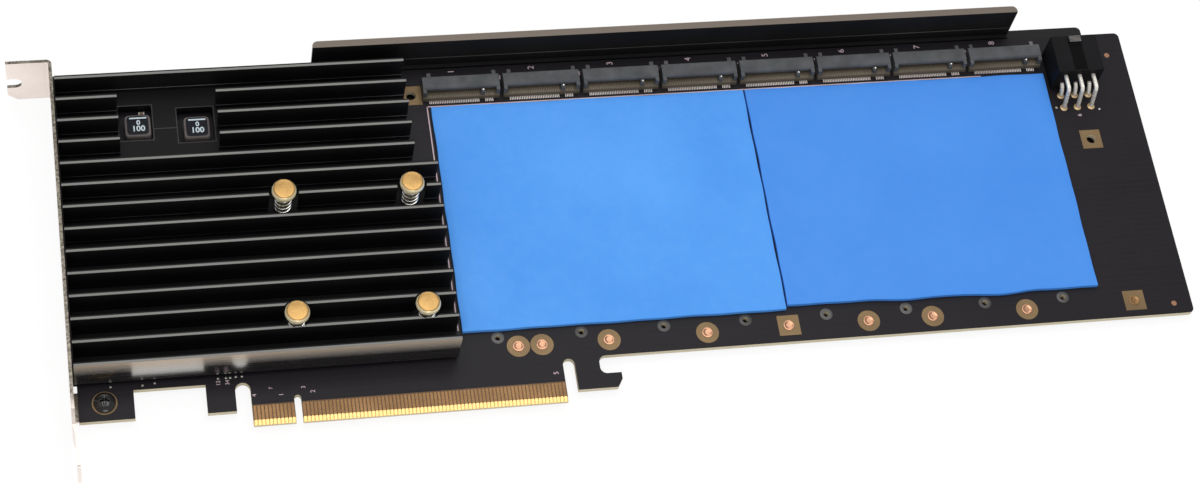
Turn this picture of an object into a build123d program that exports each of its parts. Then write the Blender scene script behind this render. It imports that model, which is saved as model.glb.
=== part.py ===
from build123d import *
import math
import os

# Expansion card that takes eight plug-in storage modules, lying flat with its component side up.
# Millimetres. X runs along the card away from its bracket, Y from the edge tongue's tip to the
# card's top edge, Z is the board's normal. The origin is the centre of the key slot, at the
# tongue's tip, on the board's component face.

# Board outline
BOARD_LEFT = -57.15
BOARD_PAST_HEADER = 18.55
BOARD_TOP = 106.65
BOARD_THICK = 1.57
BOARD_EDGE = 12.75
BOARD_CORNER = 1.5

# Edge tongue with its key slot, and the round-topped notches beside it
TONGUE_SHORT = 12.15
TONGUE_LONG = 72.15
KEY_WIDTH = 1.9
KEY_TOP = 7.9
NOTCH_LEFT = 4.05
NOTCH_RIGHT = 3.25
NOTCH_TOP = 12.55
BEVEL_RISE = 1.3
BEVEL_DEPTH = 0.4

# Gold contacts of the tongue
CONTACT_PITCH = 1.0
CONTACT_WIDTH = 0.7
CONTACT_TOP = 5.6
CONTACT_KEY_GAP = 1.5
CONTACTS_SHORT = 11
CONTACTS_LONG = 71
PLATING = 0.05
DISC_SIDES = 24

# Guide tab beside the tongue and bracket tab at the card's end
GUIDE_TAB_WIDTH = 7.6
GUIDE_TAB_LOW = 4.45
BRACKET_TAB_WIDTH = 14.5
BRACKET_TAB_LOW = 4.5

# Hooked end behind the tongue
HOOK_LOW = 3.1
HOOK_WIDTH = 12.45
HOOK_TOP = 7.45
HOOK_SLOT_DEPTH = 5.65
HOOK_SLOT_ROUND = 1.9
HOOK_CHAMFER_X = 1.5
HOOK_CHAMFER_Y = 2.4

# Heatsink: an extrusion with its fins along X
SINK_LEFT = -57.7
SINK_RIGHT_UPPER = 38.3
SINK_RIGHT_LOWER = 44.0
SINK_UNDER = 1.3
SINK_FLOOR = 3.6
SINK_TOP = 12.3
FIN_COUNT = 14
FIN_PITCH = 6.72
FIN_THICK = 1.1
SINK_SETBACK = 2.2
FIN_STEP = 8
POCKET_LEFT_GAP = 0.15
POCKET_RIGHT_GAP = 0.75
POCKET_FINS = (10, 11, 12)
WINDOW_ROUND = 0.8
CHIP_GAP = 2.0

# Sprung brass pins that hold the heatsink
PIN_CENTRE_X = 18.6
PIN_CENTRE_Y = 44.2
PIN_SPACING_X = 34.9
PIN_SPACING_Y = 37.0
PIN_HEAD_RADIUS = 3.35
PIN_HEAD_THICK = 2.4
PIN_TOP = 14.4
PIN_SHANK_RADIUS = 1.5
PIN_FOOT_RADIUS = 2.0
PIN_FOOT_LENGTH = 1.5
PIN_HOLE_GAP = 0.25
PIN_WELL_RADIUS = 4.1
SPRING_RADIUS = 2.15
SPRING_WIRE = 0.32
SPRING_TURNS = 5
SPRING_SIDES = 6

# Controller under the heatsink, with its soft pad
CHIP_SIDE = 29.0
CHIP_BASE_THICK = 1.0
CHIP_CAP_SIDE = 23.0
CHIP_HEIGHT = 2.0
CHIP_PAD_THICK = 0.4

# Power inductors that stand in the heatsink's windows
INDUCTOR_SIDE = 7.1
INDUCTOR_TOP = 4.8
INDUCTOR_ROUND = 0.6
INDUCTOR_LEAD = 0.25
INDUCTORS = {"left": (-36.0, 90.7), "right": (-20.0, 89.2)}
WINDOW_SIDE_GAPS = {"left": (1.6, 0.5), "right": (1.6, 1.3)}
WINDOW_FRONT_GAP = 0.5
WINDOW_BACK_GAP = 3.4

# Module connectors along the top edge
SLOT_COUNT = 8
SLOT_PITCH = 23.1
SLOT_PAST_PAD = 9.6
SLOT_SHIFT = -0.5
SLOT_GAP = 1.2
SLOT_SETBACK = 4.85
SLOT_UPPER_DEPTH = 4.1
SLOT_LOWER_DEPTH = 5.8
SLOT_HEIGHT = 4.2
SLOT_JAW = 1.55
SLOT_MOUTH_TOP = 3.05
SLOT_MOUTH_DEPTH = 2.75
SLOT_CHEEK = 1.0
SLOT_GUIDE_TOP = 3.85
SLOT_GUIDE_SETBACK = 0.5
SLOT_KEY_SETBACK = 0.4
SLOT_KEY_OFFSET = 6.13
SLOT_KEY_WIDTH = 1.0
SLOT_CHAMFER = 0.35
ROW_THICK = 0.35
TAIL_REACH = 1.3
TAIL_THICK = 0.25
HOLD_DOWN_WIDTH = 1.1
HOLD_DOWN_REACH = 3.4
HOLD_DOWN_INSETS = (2.6, 0.6)
TAIL_GAP = 0.4

# Plated and tapped holes that take the modules' screws
MODULE_REACH = 77.3
MODULE_HOLE = 0.8

# Soft blue pads under the modules
PAD_PAST_SINK = 1.9
PAD_BEFORE_HEADER = 1.4
PAD_GAP = 0.4
PAD_ABOVE_HOLES = 1.1
PAD_SETBACK = 2.5
PAD_THICK = 1.5
PAD_ROUND = 0.8

# Plated pads round the holes for a cover, and copper studs on the others
SQUARE_PAD_SIDE = 6.15
COVER_HOLE = 1.4
COVER_HOLE_PAST_SINK = 2.55
COVER_HOLE_SETBACK = 8.45
COVER_HOLE_PAST_HEADER = 1.6
COVER_HOLE_BELOW_PINS = 11.1
STUD_BELOW_HOLES = 3.0
STUD_STEPS = (5.3, 11.8, 30.4, 58.0, 104.1, 122.7, 150.4)
SQUARE_STUD_STEPS = (81.2, 182.5)
SQUARE_STUD_RAISE = 0.4
ROUND_PAD_RADIUS = 3.2
STUD_RADIUS = 1.55
STUD_PROUD = 0.2

# Right-angle power header
HEADER_PAST_SLOTS = 19.1
HEADER_WAYS = 3
HEADER_PITCH = 4.2
HEADER_SIDE = 0.6
HEADER_FOOT = 0.9
HEADER_SETBACK = 6.25
HEADER_LENGTH = 11.9
HEADER_UNDER = 0.3
HEADER_HEIGHT = 9.6
HEADER_POCKET = 3.6
HEADER_POCKET_DEPTH = 9.0
HEADER_POCKET_CHAMFER = 0.7
LATCH_WIDTH = 4.0
LATCH_RISE = 1.0
LATCH_LENGTH = 2.4
LATCH_SETBACK = 0.2
POWER_PIN = 1.07
POWER_PIN_RECESS = 3.2
POWER_ROW_SETBACK = 2.4
POWER_ROW_STEP = 4.1
POWER_LEAN_BACK = 1.5
POWER_LEAN_FRONT = 2.0
POWER_BEND = 0.3
POWER_TAIL = 2.9
POWER_HOLE_GAP = 0.1

# Black metal rail along the top edge: a foot under the board and an upright wall behind it
RAIL_LEFT = 13.5
RAIL_WALL_BEFORE_HEADER = 8.9
RAIL_PAST_HEADER = 0.9
RAIL_GAP = 0.5
RAIL_BESIDE = 3.25
RAIL_WALL = 2.1
RAIL_TOP = 12.0
RAIL_FOOT = 2.0
RAIL_FOOT_REACH = 6.0
RAIL_ROUND = 1.5

# Folded steel bracket at the card's end
BRACKET_THICK = 0.9
BRACKET_GAP = 1.0
BRACKET_WIDTH = 18.42
BRACKET_UNDER = -2.92
BRACKET_RISE = 0.05
BRACKET_SHOULDER = 2.92
BRACKET_FLAP = 11.43
BRACKET_FOLD = 0.5
FLAP_NOTCH_WIDTH = 4.42
FLAP_NOTCH_DEPTH = 4.2
FLAP_NOTCH_CENTRE = 5.5
FLAP_CHAMFER = 2.6
TONGUE_WIDTH = 10.2
TONGUE_LENGTH = 12.3
TONGUE_TAPER = 2.6
TONGUE_JOG = 0.6
TONGUE_ROUND = 1.2
VENT_COUNT = 11
VENT_LENGTH = 11.0
VENT_HEIGHT = 2.6
VENT_INSET = 12.4
VENT_TOP_INSET = 22.7
EAR_LENGTH = 13.2
EAR_WIDTH = 8.4
EAR_ROUND = 1.5
EAR_INSET = 5.1
EAR_TOP_INSET = 10.25

# Cross-head screws that hold the bracket
SCREW_INSET = 6.85
SCREW_RADIUS = 1.5
SCREW_HEAD_RADIUS = 2.75
SCREW_HEAD = 1.8
SCREW_HEAD_BEVEL = 0.7
SCREW_CLEARANCE = 0.15
SCREW_PAD_RADIUS = 3.35
SCREW_PAST = 0.4
REAR_SCREW_HEAD = 0.9
CROSS_LENGTH = 2.6
CROSS_WIDTH = 0.6
CROSS_DEPTH = 0.9

# Small two-pole parts on the board
CAP_LENGTH = 1.6
CAP_WIDTH = 0.85
CAP_HEIGHT = 0.75
CAP_ROW_PITCH = 2.4
CAP_ROW_COUNT = 8
CAP_ROW_SETBACK = 2.6
CAPS_BESIDE = {"left": (1.4, 6.2), "right": (-1.2, 5.2)}

# Worked-out places that several pieces share
BOARD_BACK = -BOARD_THICK
HOOK_LEFT = TONGUE_LONG + NOTCH_RIGHT
HOOK_TIP = HOOK_LEFT + HOOK_WIDTH
SINK_LOW = BOARD_EDGE + SINK_SETBACK
FIN_FIRST = SINK_LOW + FIN_THICK / 2
SINK_HIGH = SINK_LOW + FIN_PITCH * (FIN_COUNT - 1) + FIN_THICK
SINK_STEP = SINK_LOW + FIN_PITCH * FIN_STEP + FIN_THICK
PIN_PLACES = [
    (PIN_CENTRE_X + sx * PIN_SPACING_X / 2, PIN_CENTRE_Y + sy * PIN_SPACING_Y / 2)
    for sx in (-1, 1) for sy in (-1, 1)
]
PIN_HEAD_UNDER = PIN_TOP - PIN_HEAD_THICK
PAD_LEFT = SINK_RIGHT_LOWER + PAD_PAST_SINK
SLOT_FIRST = PAD_LEFT + SLOT_PAST_PAD
SLOT_WIDTH = SLOT_PITCH - SLOT_GAP
SLOT_PLACES = [SLOT_FIRST + SLOT_PITCH * n for n in range(SLOT_COUNT)]
SLOT_REAR = BOARD_TOP - SLOT_SETBACK
SLOT_UPPER_FRONT = SLOT_REAR - SLOT_UPPER_DEPTH
SLOT_LOWER_FRONT = SLOT_REAR - SLOT_LOWER_DEPTH
MODULE_HOLE_Y = SLOT_UPPER_FRONT - MODULE_REACH
HEADER_X = SLOT_PLACES[-1] + HEADER_PAST_SLOTS
HEADER_WIDTH = HEADER_WAYS * HEADER_PITCH + 2 * HEADER_SIDE
HEADER_MOUTH = BOARD_TOP - HEADER_SETBACK
HEADER_REAR = HEADER_MOUTH - HEADER_LENGTH
HEADER_MIDDLE = HEADER_UNDER + HEADER_HEIGHT / 2
HEADER_TOP = HEADER_UNDER + HEADER_HEIGHT
POWER_COLUMNS = [HEADER_X + HEADER_PITCH * (n - (HEADER_WAYS - 1) / 2) for n in range(HEADER_WAYS)]
POWER_ROW_BACK = HEADER_REAR - POWER_ROW_SETBACK
POWER_ROW_FRONT = POWER_ROW_BACK - POWER_ROW_STEP
POWER_ROWS = (
    (POWER_ROW_BACK, HEADER_MIDDLE - HEADER_PITCH / 2, POWER_LEAN_BACK),
    (POWER_ROW_FRONT, HEADER_MIDDLE + HEADER_PITCH / 2, POWER_LEAN_FRONT),
)
POWER_HOLE = POWER_PIN + 2 * POWER_HOLE_GAP
BOARD_RIGHT = HEADER_X + BOARD_PAST_HEADER
PAD_WIDTH = (HEADER_X - HEADER_WIDTH / 2 - PAD_BEFORE_HEADER - PAD_LEFT - PAD_GAP) / 2
PAD_LOW = MODULE_HOLE_Y + MODULE_HOLE + PAD_ABOVE_HOLES
PAD_HIGH = SLOT_LOWER_FRONT - PAD_SETBACK
STUD_ROW_Y = MODULE_HOLE_Y - STUD_BELOW_HOLES
COVER_HOLES = (
    (SINK_RIGHT_UPPER + COVER_HOLE_PAST_SINK, BOARD_TOP - COVER_HOLE_SETBACK),
    (HEADER_X + COVER_HOLE_PAST_HEADER, POWER_ROW_FRONT - COVER_HOLE_BELOW_PINS),
)
STUD_ROW = [(SLOT_FIRST + step, STUD_ROW_Y) for step in STUD_STEPS]
SQUARE_STUDS = [(SLOT_FIRST + step, STUD_ROW_Y + SQUARE_STUD_RAISE) for step in SQUARE_STUD_STEPS]
RAIL_RIGHT = HEADER_X + HEADER_WIDTH / 2 + RAIL_PAST_HEADER
RAIL_WALL_RIGHT = HEADER_X - HEADER_WIDTH / 2 - RAIL_WALL_BEFORE_HEADER
RAIL_INNER = BOARD_TOP + RAIL_GAP
RAIL_OUTER = RAIL_INNER + RAIL_BESIDE
RAIL_UNDER = BOARD_BACK - RAIL_FOOT
BRACKET_INNER = BOARD_LEFT - BRACKET_GAP
BRACKET_OUTER = BRACKET_INNER - BRACKET_THICK
BRACKET_UPPER = BRACKET_UNDER + BRACKET_WIDTH
BRACKET_MIDDLE = BRACKET_UNDER + BRACKET_WIDTH / 2
BRACKET_TOP = BOARD_TOP + BRACKET_RISE
PLATE_LOW = BRACKET_TAB_LOW - BRACKET_SHOULDER
JOG_TOP = PLATE_LOW - TONGUE_TAPER
BRACKET_LOW = JOG_TOP - TONGUE_LENGTH
VENT_FIRST = PLATE_LOW + VENT_INSET
VENT_PITCH = (BRACKET_TOP - VENT_TOP_INSET - VENT_FIRST) / (VENT_COUNT - 1)
EAR_LOWER_Y = BRACKET_TAB_LOW + EAR_INSET
EAR_UPPER_Y = BOARD_TOP - EAR_TOP_INSET
EAR_UNDER = BOARD_BACK - BRACKET_THICK
SCREW_X = BOARD_LEFT + SCREW_INSET


def flat(x0, x1, y0, y1):
    """Flat rectangle between two X and two Y values."""
    return Pos((x0 + x1) / 2, (y0 + y1) / 2) * Rectangle(x1 - x0, y1 - y0)


def slab(sketch, z0, z1):
    """Sketch drawn at Z zero, made solid between two heights."""
    return extrude(Pos(0, 0, z0) * sketch, z1 - z0)


def block(x0, x1, y0, y1, z0, z1):
    """Plain block between two corners."""
    return slab(flat(x0, x1, y0, y1), z0, z1)


def rod(x, y, radius, z0, z1):
    """Upright cylinder between two heights."""
    return slab(Pos(x, y) * Circle(radius), z0, z1)


def disc(x, y, radius):
    """Round outline with even short sides, for plating and fixings that nothing mates with."""
    return Pos(x, y) * RegularPolygon(radius, DISC_SIDES)


def post(x, y, radius, z0, z1):
    """Upright pin on such an outline."""
    return slab(disc(x, y, radius), z0, z1)


def heading(a, b):
    """Direction from one point to another."""
    length = math.dist(a, b)
    return ((b[0] - a[0]) / length, (b[1] - a[1]) / length)


def strip(points, width):
    """Strip of even width along a line of points, mitred at its bends."""
    headings = [heading(a, b) for a, b in zip(points, points[1:])]
    headings = [headings[0]] + headings + [headings[-1]]
    left, right = [], []
    for (y, z), (a, b), (c, d) in zip(points, headings, headings[1:]):
        reach = width / 2 / (1 + a * c + b * d)
        left.append((y - (b + d) * reach, z + (a + c) * reach))
        right.append((y + (b + d) * reach, z - (a + c) * reach))
    return Polygon(*reversed(left), *right, align=None)


def group(solids):
    """Separate solids kept in one node."""
    return Compound(children=[s for part in solids for s in part.solids()])


def round_notch(x0, x1, top):
    """Upright notch, open downwards, with a full round top."""
    radius = (x1 - x0) / 2
    return flat(x0, x1, -radius, top - radius) + Pos(x0 + radius, top - radius) * Circle(radius)


def board_outline():
    """Board outline: body, tabs, tongue and hook, less the notches and the key slot."""
    body = flat(BOARD_LEFT, BOARD_RIGHT, BOARD_EDGE, BOARD_TOP)
    body = fillet(body.vertices().group_by(Axis.X)[-1], BOARD_CORNER)
    bracket_tab = flat(BOARD_LEFT, BOARD_LEFT + BRACKET_TAB_WIDTH, BRACKET_TAB_LOW, BOARD_EDGE)
    notch_from = -TONGUE_SHORT - NOTCH_LEFT
    guide_tab = flat(notch_from - GUIDE_TAB_WIDTH, notch_from, GUIDE_TAB_LOW, BOARD_EDGE)
    tongue = flat(notch_from, HOOK_LEFT, 0, BOARD_EDGE)
    hook = flat(HOOK_LEFT, HOOK_TIP, HOOK_LOW, BOARD_EDGE)
    outline = body + bracket_tab + guide_tab + tongue + hook
    outline -= round_notch(notch_from, -TONGUE_SHORT, NOTCH_TOP)
    outline -= round_notch(-KEY_WIDTH / 2, KEY_WIDTH / 2, KEY_TOP)
    outline -= round_notch(HOOK_LEFT - NOTCH_RIGHT, HOOK_LEFT, NOTCH_TOP)
    slot_width = 2 * HOOK_SLOT_DEPTH
    slot_height = BOARD_EDGE - HOOK_TOP
    slot = RectangleRounded(slot_width, slot_height, HOOK_SLOT_ROUND)
    outline -= Pos(HOOK_TIP, HOOK_TOP + slot_height / 2) * slot
    outline -= Polygon(
        (HOOK_TIP - HOOK_CHAMFER_X, HOOK_LOW), (HOOK_TIP, HOOK_LOW),
        (HOOK_TIP, HOOK_LOW + HOOK_CHAMFER_Y), align=None,
    )
    return outline


def tongue_bevel(face_z, inward):
    """Wedge that bevels the tongue's tip on one face."""
    x0 = -TONGUE_SHORT - 1
    wedge = Polyline(
        (x0, 0, face_z), (x0, BEVEL_RISE, face_z), (x0, 0, face_z + inward * BEVEL_DEPTH), close=True,
    )
    return extrude(make_face(wedge), TONGUE_SHORT + TONGUE_LONG + 2, dir=(1, 0, 0))


def circuit_board():
    outline = board_outline()
    for x, y in PIN_PLACES:
        outline -= disc(x, y, PIN_SHANK_RADIUS + PIN_HOLE_GAP)
    for x in SLOT_PLACES:
        outline -= Pos(x, MODULE_HOLE_Y) * Circle(MODULE_HOLE)
    for x, y in COVER_HOLES:
        outline -= Pos(x, y) * Circle(COVER_HOLE)
    for y in (EAR_LOWER_Y, EAR_UPPER_Y):
        outline -= disc(SCREW_X, y, SCREW_RADIUS + SCREW_CLEARANCE)
    for x in POWER_COLUMNS:
        for y, _, _ in POWER_ROWS:
            outline -= Pos(x, y) * Rectangle(POWER_HOLE, POWER_HOLE)
    board = slab(outline, BOARD_BACK, 0)
    board -= tongue_bevel(0, -1)
    return board - tongue_bevel(BOARD_BACK, 1)


def edge_contacts(z0, z1):
    """Row of gold contacts on one face of the tongue, either side of the key slot."""
    places = [-CONTACT_KEY_GAP - CONTACT_PITCH * n for n in range(CONTACTS_SHORT)]
    places += [CONTACT_KEY_GAP + CONTACT_PITCH * n for n in range(CONTACTS_LONG)]
    half = CONTACT_WIDTH / 2
    return group(block(x - half, x + half, BEVEL_RISE, CONTACT_TOP, z0, z1) for x in sorted(places))


def square_pads():
    """Plated squares: two round the open cover holes, two under copper studs."""
    square = Rectangle(SQUARE_PAD_SIDE, SQUARE_PAD_SIDE)
    pads = [slab(Pos(x, y) * (square - Circle(COVER_HOLE)), 0, PLATING) for x, y in COVER_HOLES]
    pads += [slab(Pos(x, y) * square, 0, PLATING) for x, y in SQUARE_STUDS]
    return group(pads)


def round_pads():
    """Plated discs under the row of copper studs, and a ring under the bracket screw's head."""
    discs = [post(x, y, ROUND_PAD_RADIUS, 0, PLATING) for x, y in STUD_ROW]
    screw_ring = disc(SCREW_X, EAR_LOWER_Y, SCREW_PAD_RADIUS)
    screw_ring -= disc(SCREW_X, EAR_LOWER_Y, SCREW_RADIUS + SCREW_CLEARANCE)
    discs.append(slab(screw_ring, 0, PLATING))
    return group(discs)


def copper_studs():
    """Low copper studs in the middle of the plated pads."""
    top = PLATING + STUD_PROUD
    return group(post(x, y, STUD_RADIUS, PLATING, top) for x, y in STUD_ROW + SQUARE_STUDS)


def window(name):
    """Window sketch round one inductor."""
    x, y = INDUCTORS[name]
    left_gap, right_gap = WINDOW_SIDE_GAPS[name]
    half = INDUCTOR_SIDE / 2
    opening = flat(x - half - left_gap, x + half + right_gap,
                   y - half - WINDOW_FRONT_GAP, y + half + WINDOW_BACK_GAP)
    return fillet(opening.vertices(), WINDOW_ROUND)


def controller_heatsink():
    """Finned extrusion: base, fins, milled pocket, windows, pin wells and chip recess."""
    half = FIN_THICK / 2
    profile = flat(SINK_LOW, SINK_HIGH, SINK_UNDER, SINK_FLOOR)
    for n in range(FIN_COUNT):
        y = FIN_FIRST + FIN_PITCH * n
        profile += flat(y - half, y + half, SINK_UNDER, SINK_TOP)
    across = Plane(origin=(SINK_LEFT, 0, 0), x_dir=(0, 1, 0), z_dir=(1, 0, 0))
    sink = extrude(across * profile, SINK_RIGHT_LOWER - SINK_LEFT)
    sink -= block(SINK_RIGHT_UPPER, SINK_RIGHT_LOWER, SINK_STEP, SINK_HIGH, SINK_UNDER, SINK_TOP)
    low = FIN_FIRST + FIN_PITCH * (min(POCKET_FINS) - 1) + half
    high = FIN_FIRST + FIN_PITCH * (max(POCKET_FINS) + 1) - half
    pocket_left = INDUCTORS["left"][0] - INDUCTOR_SIDE / 2 - WINDOW_SIDE_GAPS["left"][0] - POCKET_LEFT_GAP
    pocket_right = INDUCTORS["right"][0] + INDUCTOR_SIDE / 2 + WINDOW_SIDE_GAPS["right"][1] + POCKET_RIGHT_GAP
    sink -= block(pocket_left, pocket_right, low, high, SINK_FLOOR, SINK_TOP)
    for name in INDUCTORS:
        sink -= slab(window(name), SINK_UNDER, SINK_FLOOR)
    for x, y in PIN_PLACES:
        sink -= post(x, y, PIN_WELL_RADIUS, SINK_FLOOR, SINK_TOP)
        sink -= post(x, y, PIN_SHANK_RADIUS + PIN_HOLE_GAP, SINK_UNDER, SINK_FLOOR)
    recess = CHIP_SIDE / 2 + CHIP_GAP
    sink -= block(PIN_CENTRE_X - recess, PIN_CENTRE_X + recess, PIN_CENTRE_Y - recess,
                  PIN_CENTRE_Y + recess, SINK_UNDER, CHIP_HEIGHT + CHIP_PAD_THICK)
    return sink


def switch_chip():
    x, y = PIN_CENTRE_X, PIN_CENTRE_Y
    base = Pos(x, y, CHIP_BASE_THICK / 2) * Box(CHIP_SIDE, CHIP_SIDE, CHIP_BASE_THICK)
    cap_height = CHIP_HEIGHT - CHIP_BASE_THICK
    cap = Pos(x, y, CHIP_BASE_THICK + cap_height / 2) * Box(CHIP_CAP_SIDE, CHIP_CAP_SIDE, cap_height)
    return base + cap


def chip_thermal_pad():
    pad = Box(CHIP_CAP_SIDE, CHIP_CAP_SIDE, CHIP_PAD_THICK)
    return Pos(PIN_CENTRE_X, PIN_CENTRE_Y, CHIP_HEIGHT + CHIP_PAD_THICK / 2) * pad


def push_pins():
    """Brass pins: head, shank through the board and a wider foot."""
    foot_top = BOARD_BACK - PIN_HOLE_GAP
    pins = []
    for x, y in PIN_PLACES:
        pin = post(x, y, PIN_HEAD_RADIUS, PIN_HEAD_UNDER, PIN_TOP)
        pin += post(x, y, PIN_SHANK_RADIUS, foot_top, PIN_HEAD_UNDER)
        pin += post(x, y, PIN_FOOT_RADIUS, foot_top - PIN_FOOT_LENGTH, foot_top)
        pins.append(pin)
    return group(pins)


def pin_springs():
    """Coil springs between the heatsink's base and the pins' heads, wound in straight runs."""
    low = SINK_FLOOR + SPRING_WIRE
    rise = PIN_HEAD_UNDER - SPRING_WIRE - low
    steps = SPRING_TURNS * SPRING_SIDES
    rings = []
    for n in range(steps + 1):
        turn = 2 * math.pi * n / SPRING_SIDES
        corners = ((-1, -1), (1, -1), (1, 1), (-1, 1))
        rings.append([
            Vector((SPRING_RADIUS + SPRING_WIRE * a) * math.cos(turn),
                   (SPRING_RADIUS + SPRING_WIRE * a) * math.sin(turn), low + rise * n / steps + SPRING_WIRE * b)
            for a, b in corners
        ])
    faces = [Face(Wire.make_polygon(rings[0])), Face(Wire.make_polygon(rings[-1]))]
    for before, after in zip(rings, rings[1:]):
        for n in range(4):
            a, b = before[n], before[n - 3]
            c, d = after[n - 3], after[n]
            faces += [Face(Wire.make_polygon((a, b, c))), Face(Wire.make_polygon((a, c, d)))]
    spring = Solid(Shell(faces))
    return group(Pos(x, y, 0) * spring for x, y in PIN_PLACES)


def inductor(name):
    """Moulded power inductor on two flat leads."""
    x, y = INDUCTORS[name]
    height = INDUCTOR_TOP - INDUCTOR_LEAD
    body = Box(INDUCTOR_SIDE, INDUCTOR_SIDE, height)
    body = fillet(body.edges().filter_by(Axis.Z), INDUCTOR_ROUND)
    body = Pos(x, y, INDUCTOR_LEAD + height / 2) * body
    lead_width = INDUCTOR_SIDE / 4
    for side in (-1, 1):
        lead_x = x + side * (INDUCTOR_SIDE - lead_width) / 2
        body += Pos(lead_x, y, INDUCTOR_LEAD / 2) * Box(lead_width, INDUCTOR_SIDE / 2, INDUCTOR_LEAD)
    return body


def slot_housing(x):
    """Connector housing: upper and lower jaw round a mouth, cheeks, guide posts and a key rib."""
    middle = x + SLOT_SHIFT
    left, right = middle - SLOT_WIDTH / 2, middle + SLOT_WIDTH / 2
    housing = block(left, right, SLOT_LOWER_FRONT, SLOT_REAR, 0, SLOT_JAW)
    housing += block(left, right, SLOT_UPPER_FRONT, SLOT_REAR, SLOT_JAW, SLOT_HEIGHT)
    housing = chamfer(housing.edges().filter_by(Axis.X).group_by(Axis.Z)[-1], SLOT_CHAMFER)
    housing -= block(left + SLOT_CHEEK, right - SLOT_CHEEK, SLOT_UPPER_FRONT,
                     SLOT_UPPER_FRONT + SLOT_MOUTH_DEPTH, SLOT_JAW, SLOT_MOUTH_TOP)
    for guide in (left, right - SLOT_CHEEK):
        housing += block(guide, guide + SLOT_CHEEK, SLOT_LOWER_FRONT + SLOT_GUIDE_SETBACK,
                         SLOT_UPPER_FRONT, SLOT_JAW, SLOT_GUIDE_TOP)
    key_left = middle + SLOT_KEY_OFFSET - SLOT_KEY_WIDTH / 2
    housing += block(key_left, key_left + SLOT_KEY_WIDTH, SLOT_LOWER_FRONT + SLOT_KEY_SETBACK,
                     SLOT_UPPER_FRONT + SLOT_MOUTH_DEPTH, SLOT_JAW, SLOT_MOUTH_TOP)
    return housing


def slot_contacts():
    """Contact strips in each mouth and solder tails behind each housing, either side of the key rib."""
    strips = []
    for x in SLOT_PLACES:
        middle = x + SLOT_SHIFT
        left = middle - SLOT_WIDTH / 2 + SLOT_CHEEK
        right = middle + SLOT_WIDTH / 2 - SLOT_CHEEK
        key = middle + SLOT_KEY_OFFSET
        back = SLOT_UPPER_FRONT + SLOT_MOUTH_DEPTH
        half_key = SLOT_KEY_WIDTH / 2
        for x0, x1 in ((left, key - half_key), (key + half_key, right)):
            strips.append(block(x0, x1, SLOT_UPPER_FRONT, back, SLOT_JAW, SLOT_JAW + ROW_THICK))
            strips.append(block(x0, x1, SLOT_UPPER_FRONT, back, SLOT_MOUTH_TOP - ROW_THICK, SLOT_MOUTH_TOP))
        tail_left, tail_right = (inset + HOLD_DOWN_WIDTH / 2 + TAIL_GAP - SLOT_CHEEK for inset in HOLD_DOWN_INSETS)
        for x0, x1 in ((left + tail_left, key - half_key), (key + half_key, right - tail_right)):
            strips.append(block(x0, x1, SLOT_REAR, SLOT_REAR + TAIL_REACH, 0, TAIL_THICK))
    return group(strips)


def slot_hold_downs():
    """Solder tabs behind each housing, near its ends."""
    tabs = []
    for x in SLOT_PLACES:
        for side, inset in zip((-1, 1), HOLD_DOWN_INSETS):
            middle = x + SLOT_SHIFT + side * (SLOT_WIDTH / 2 - inset)
            x0 = middle - HOLD_DOWN_WIDTH / 2
            x1 = middle + HOLD_DOWN_WIDTH / 2
            tabs.append(block(x0, x1, SLOT_REAR, SLOT_REAR + HOLD_DOWN_REACH, 0, TAIL_THICK))
            tabs[-1] += block(x0, x1, SLOT_REAR, SLOT_REAR + TAIL_THICK, 0, SLOT_JAW)
    return group(tabs)


def thermal_pad(index):
    """Soft pad under four modules."""
    left = PAD_LEFT + index * (PAD_WIDTH + PAD_GAP)
    outline = flat(left, left + PAD_WIDTH, PAD_LOW, PAD_HIGH)
    return slab(fillet(outline.vertices(), PAD_ROUND), 0, PAD_THICK)


def power_header():
    """Shrouded power housing with six chamfered pockets, a latch ramp and two feet."""
    half = HEADER_WIDTH / 2
    body = block(HEADER_X - half, HEADER_X + half, HEADER_REAR, HEADER_MOUTH, HEADER_UNDER, HEADER_TOP)
    upright = Plane(origin=(0, HEADER_MOUTH, 0), x_dir=(-1, 0, 0), z_dir=(0, 1, 0))
    pocket = Rectangle(HEADER_POCKET, HEADER_POCKET)
    pocket = chamfer(pocket.vertices().group_by(Axis.Y)[-1], HEADER_POCKET_CHAMFER)
    for x in POWER_COLUMNS:
        for _, z, _ in POWER_ROWS:
            body -= extrude(upright * Pos(-x, z) * pocket, -HEADER_POCKET_DEPTH)
            body -= extrude(upright * Pos(-x, z) * Rectangle(POWER_PIN, POWER_PIN), -HEADER_LENGTH)
    latch_front = HEADER_MOUTH - LATCH_SETBACK
    ramp = Polyline(
        (HEADER_X - LATCH_WIDTH / 2, latch_front, HEADER_TOP),
        (HEADER_X - LATCH_WIDTH / 2, latch_front - LATCH_LENGTH, HEADER_TOP),
        (HEADER_X - LATCH_WIDTH / 2, latch_front - LATCH_LENGTH, HEADER_TOP + LATCH_RISE),
        close=True,
    )
    body += extrude(make_face(ramp), LATCH_WIDTH, dir=(1, 0, 0))
    for side in (-1, 1):
        foot = HEADER_X + side * (half - HEADER_FOOT / 2)
        body += block(foot - HEADER_FOOT / 2, foot + HEADER_FOOT / 2, HEADER_REAR, HEADER_MOUTH, 0, HEADER_UNDER)
    return body


def power_pins():
    """Square pins: straight in the housing, bent down and outwards behind it, then through the board."""
    tip = HEADER_MOUTH - POWER_PIN_RECESS
    pins = []
    for x in POWER_COLUMNS:
        side = Plane(origin=(x - POWER_PIN / 2, 0, 0), x_dir=(0, 1, 0), z_dir=(1, 0, 0))
        for y, z, lean in POWER_ROWS:
            line = ((tip, z), (y + lean, z), (y, POWER_BEND), (y, -POWER_TAIL))
            pins.append(extrude(side * strip(line, POWER_PIN), POWER_PIN))
    return group(pins)


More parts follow.
